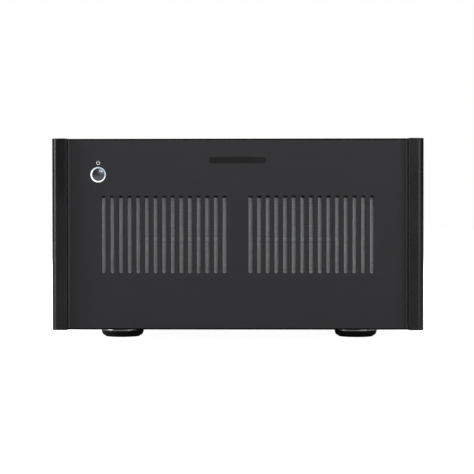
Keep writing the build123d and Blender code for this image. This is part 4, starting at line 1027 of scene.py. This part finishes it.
def makeRearMarks():
    # plus and minus beside the posts, frames round the groups, ticks beside the switches
    work = rearMarks
    stroke, reach = work["stroke"], work["reach"]
    strokes = []
    for number, centre in enumerate(postCentres, start=1):
        x, z = centre[0], centre[2] + work["lift"]
        strokes.append(([(x - reach, z), (x + reach, z)], stroke))
        if number in (2, 4):
            strokes.append(([(x, z - reach), (x, z - stroke / 2)], stroke))
            strokes.append(([(x, z + stroke / 2), (x, z + reach)], stroke))
    postHeight = postCentres[0][2]
    for first, second in ((0, 1), (2, 3)):
        low = (postCentres[first][0] - work["besidePosts"], postHeight - work["belowPosts"])
        high = (postCentres[second][0] + work["besidePosts"], postHeight + work["abovePosts"])
        strokes.append((framePath(low, high, work["corner"]), work["frame"]))
    socketLow, socketHigh = boxOf("balanced_sockets")
    margin = np.array((work["besideSockets"], work["aboveSockets"]))
    low, high = socketLow[[0, 2]] - margin, socketHigh[[0, 2]] + margin
    strokes.append((framePath(low, high, work["corner"]), work["frame"]))
    for switch in ("input", "mode"):
        knobLow, knobHigh = boxOf(switch + "_switch_knob")
        x = (knobLow[0] + knobHigh[0]) / 2
        start, end = knobHigh[2] + work["tickStart"], knobHigh[2] + work["tickEnd"]
        for place in (x, x + work[switch + "Travel"]):
            strokes.append(([(place, start), (place, end)], stroke))
    mesh = strokeMesh("rearMarks", strokes, rearHigh[1])
    piece = addPiece("rear_marks", mesh, materials["print"])
    thicken(piece, work["proud"], 0.0)


makeRearMarks()
print("stage: rear made")


# windings

windingWork = {
    "turns": 230, "perTurn": 2, "ridge": 0.00035, "corner": 0.016, "cornerSteps": 9, "holeRadius": 0.017,
}


def makeWinding(sideName):
    # a rounded rectangle carried round the core's axis, pressed in between neighbouring turns of wire
    node = "transformer_" + sideName
    low, high = boxOf(node)
    outer = (high[0] - low[0]) / 2
    inner = windingWork["holeRadius"]
    corner = windingWork["corner"]
    outline = [
        (inner, low[2], corner), (outer, low[2], corner), (outer, high[2], corner), (inner, high[2], corner)]
    section = roundedLine(outline, steps=windingWork["cornerSteps"], closed=True)
    middle = section.mean(axis=0)
    inward = middle - section
    inward /= np.linalg.norm(inward, axis=1, keepdims=True)
    steps = windingWork["turns"] * windingWork["perTurn"]
    turn = np.linspace(0, fullTurn, steps, endpoint=False)
    press = np.tile((0.0, windingWork["ridge"]), windingWork["turns"])
    radius = section[:, :1] + inward[:, :1] * press
    height = section[:, 1:] + inward[:, 1:] * press
    points = np.stack([radius * np.cos(turn), radius * np.sin(turn), height], axis=-1).reshape(-1, 3)
    points += ((low[0] + high[0]) / 2, (low[1] + high[1]) / 2, 0)
    mesh = newMesh(node + "Winding", points, gridFaces(len(section), steps, wrapRows=True).tolist(), 70.0)
    addPiece(node + "_winding", mesh, materials["winding"], standsFor=[node])


for sideName in ("left", "right"):
    makeWinding(sideName)
print("stage: windings made")


# finishes on the nodes that stay as they are

keptFinish = {
    "front_panel": "front_aluminium", "name_inlay": "inlay_black", "front_subpanel": "plated_steel",
    "button_guide": "black_plastic", "power_switch": "black_plastic", "foot_pads": "foot_rubber",
    "foot_screws": "black_screws", "transformer_pads": "foot_rubber",
    "transformer_bolts": "plated_steel", "rectifiers": "epoxy", "output_transistors": "epoxy",
    "board_spacers": "brass_spacer", "slide_switches": "black_plastic",
    "heatsink_left": "heatsink_black", "heatsink_right": "heatsink_black",
}
boards = (
    ("supply_board", "supplyBoard", "xy"),
    ("mains_board", "mainsBoard", "xy"),
    ("amp_board_left", "ampBoardLeft", "yz"),
    ("amp_board_right", "ampBoardRight", "yz"),
    ("input_board", "inputBoard", "xz"),
)
kept = {node: materials[slot] for node, slot in keptFinish.items()}
for node, materialName, flatAxes in boards:
    kept[node] = makeBoardMaterial(materialName, flatAxes)
for node in ("chassis_base", "top_cover", "rear_panel"):
    kept[node] = finishMaterial("powderCoat_" + node, powderCoat, node)
for node, material in kept.items():
    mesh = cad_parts[node].data
    mesh.materials.clear()
    mesh.materials.append(material)
print("stage: finishes given to", len(kept), "kept nodes")


# camera, lights and floor

cameraWork = {
    "distance": 1.69, "height": 0.145, "aimHeight": 0.1227, "side": 0.0301, "aimSide": -0.0005,
    "lens": 111.05, "roll": 0.0008,
}


def makeCamera():
    front = cadBox[0][1]
    data = bpy.data.cameras.new("camera")
    data.sensor_width = 36
    data.lens = cameraWork["lens"]
    camera = addObject("camera", data)
    camera.location = (cameraWork["side"], front - cameraWork["distance"], cameraWork["height"])
    drop = math.atan2(cameraWork["height"] - cameraWork["aimHeight"], cameraWork["distance"])
    turn = math.atan2(cameraWork["side"] - cameraWork["aimSide"], cameraWork["distance"])
    camera.rotation_euler = (math.pi / 2 - drop, cameraWork["roll"], turn)
    bpy.context.scene.camera = camera


lights = {
    "overhead": {"place": (0.0, -0.95, 2.4), "size": (2.6, 0.9), "power": 34, "aim": (0, -0.1, 0.1)},
    "frontWash": {"place": (1.0, -4.8, 2.05), "size": (2.0, 0.7), "power": 92, "aim": (0, 0, 0.12)},
    "leftStrip": {"place": (-2.8, -1.3, 0.5), "size": (1.2, 2.2), "power": 72, "aim": (-0.2, -0.22, 0.13)},
    "rightStrip": {"place": (2.4, -2.9, 0.5), "size": (2.0, 2.2), "power": 52, "aim": (0.2, -0.22, 0.13)},
    "backWash": {"place": (0.0, 2.6, 1.6), "size": (2.6, 1.4), "power": 55, "aim": (0, 0, 0.12)},
}


def makeLight(name, work):
    data = bpy.data.lights.new(name, "AREA")
    data.shape = "RECTANGLE"
    data.size, data.size_y = work["size"]
    data.energy = work["power"]
    light = addObject(name, data)
    light.location = work["place"]
    toAim = np.array(work["aim"], float) - np.array(work["place"], float)
    flat = math.hypot(toAim[0], toAim[1])
    light.rotation_euler = (math.atan2(flat, -toAim[2]), 0, math.atan2(-toAim[0], toAim[1]))
    light.visible_camera = False


studio = {
    "background": (0.99, 0.99, 0.99), "ambient": (0.05, 0.05, 0.052), "floorColor": (0.88, 0.88, 0.88),
    "floorRoughness": 0.9, "floorSpecular": 0.1, "floorGlow": 0.97, "floorSize": 14.0,
}


def makeWorld():
    world = bpy.data.worlds.new("studio")
    bpy.context.scene.world = world
    world.use_nodes = True
    tree = world.node_tree
    camera = addNode(tree, "ShaderNodeLightPath").outputs["Is Camera Ray"]
    color = blendColor(tree, camera, studio["ambient"], studio["background"])
    feed(tree, tree.nodes["Background"].inputs["Color"], color)


def makeFloor():
    material, tree, shader = newMaterial("paleFloor")
    camera = addNode(tree, "ShaderNodeLightPath").outputs["Is Camera Ray"]
    feedAll(tree, shader, {
        "Base Color": studio["floorColor"], "Roughness": studio["floorRoughness"],
        "Specular IOR Level": studio["floorSpecular"], "Emission Color": (1, 1, 1),
        "Emission Strength": calc(tree, "MULTIPLY", camera, studio["floorGlow"])})
    edge = np.linspace(-studio["floorSize"], studio["floorSize"], 9)
    x, y = np.meshgrid(edge, edge)
    points = np.stack([x, y, np.zeros_like(x)], axis=-1)
    faces = gridFaces(9, 9, wrapColumns=False)
    mesh = bpy.data.meshes.new("floor")
    mesh.from_pydata(points.reshape(-1, 3).tolist(), [], faces.tolist())
    mesh.materials.append(material)
    floor = addObject("floor", mesh)


makeCamera()
for lightName, work in lights.items():
    makeLight(lightName, work)
makeWorld()
makeFloor()
bpy.context.scene.view_settings.view_transform = "Standard"
print("stage: camera, lights and floor made")
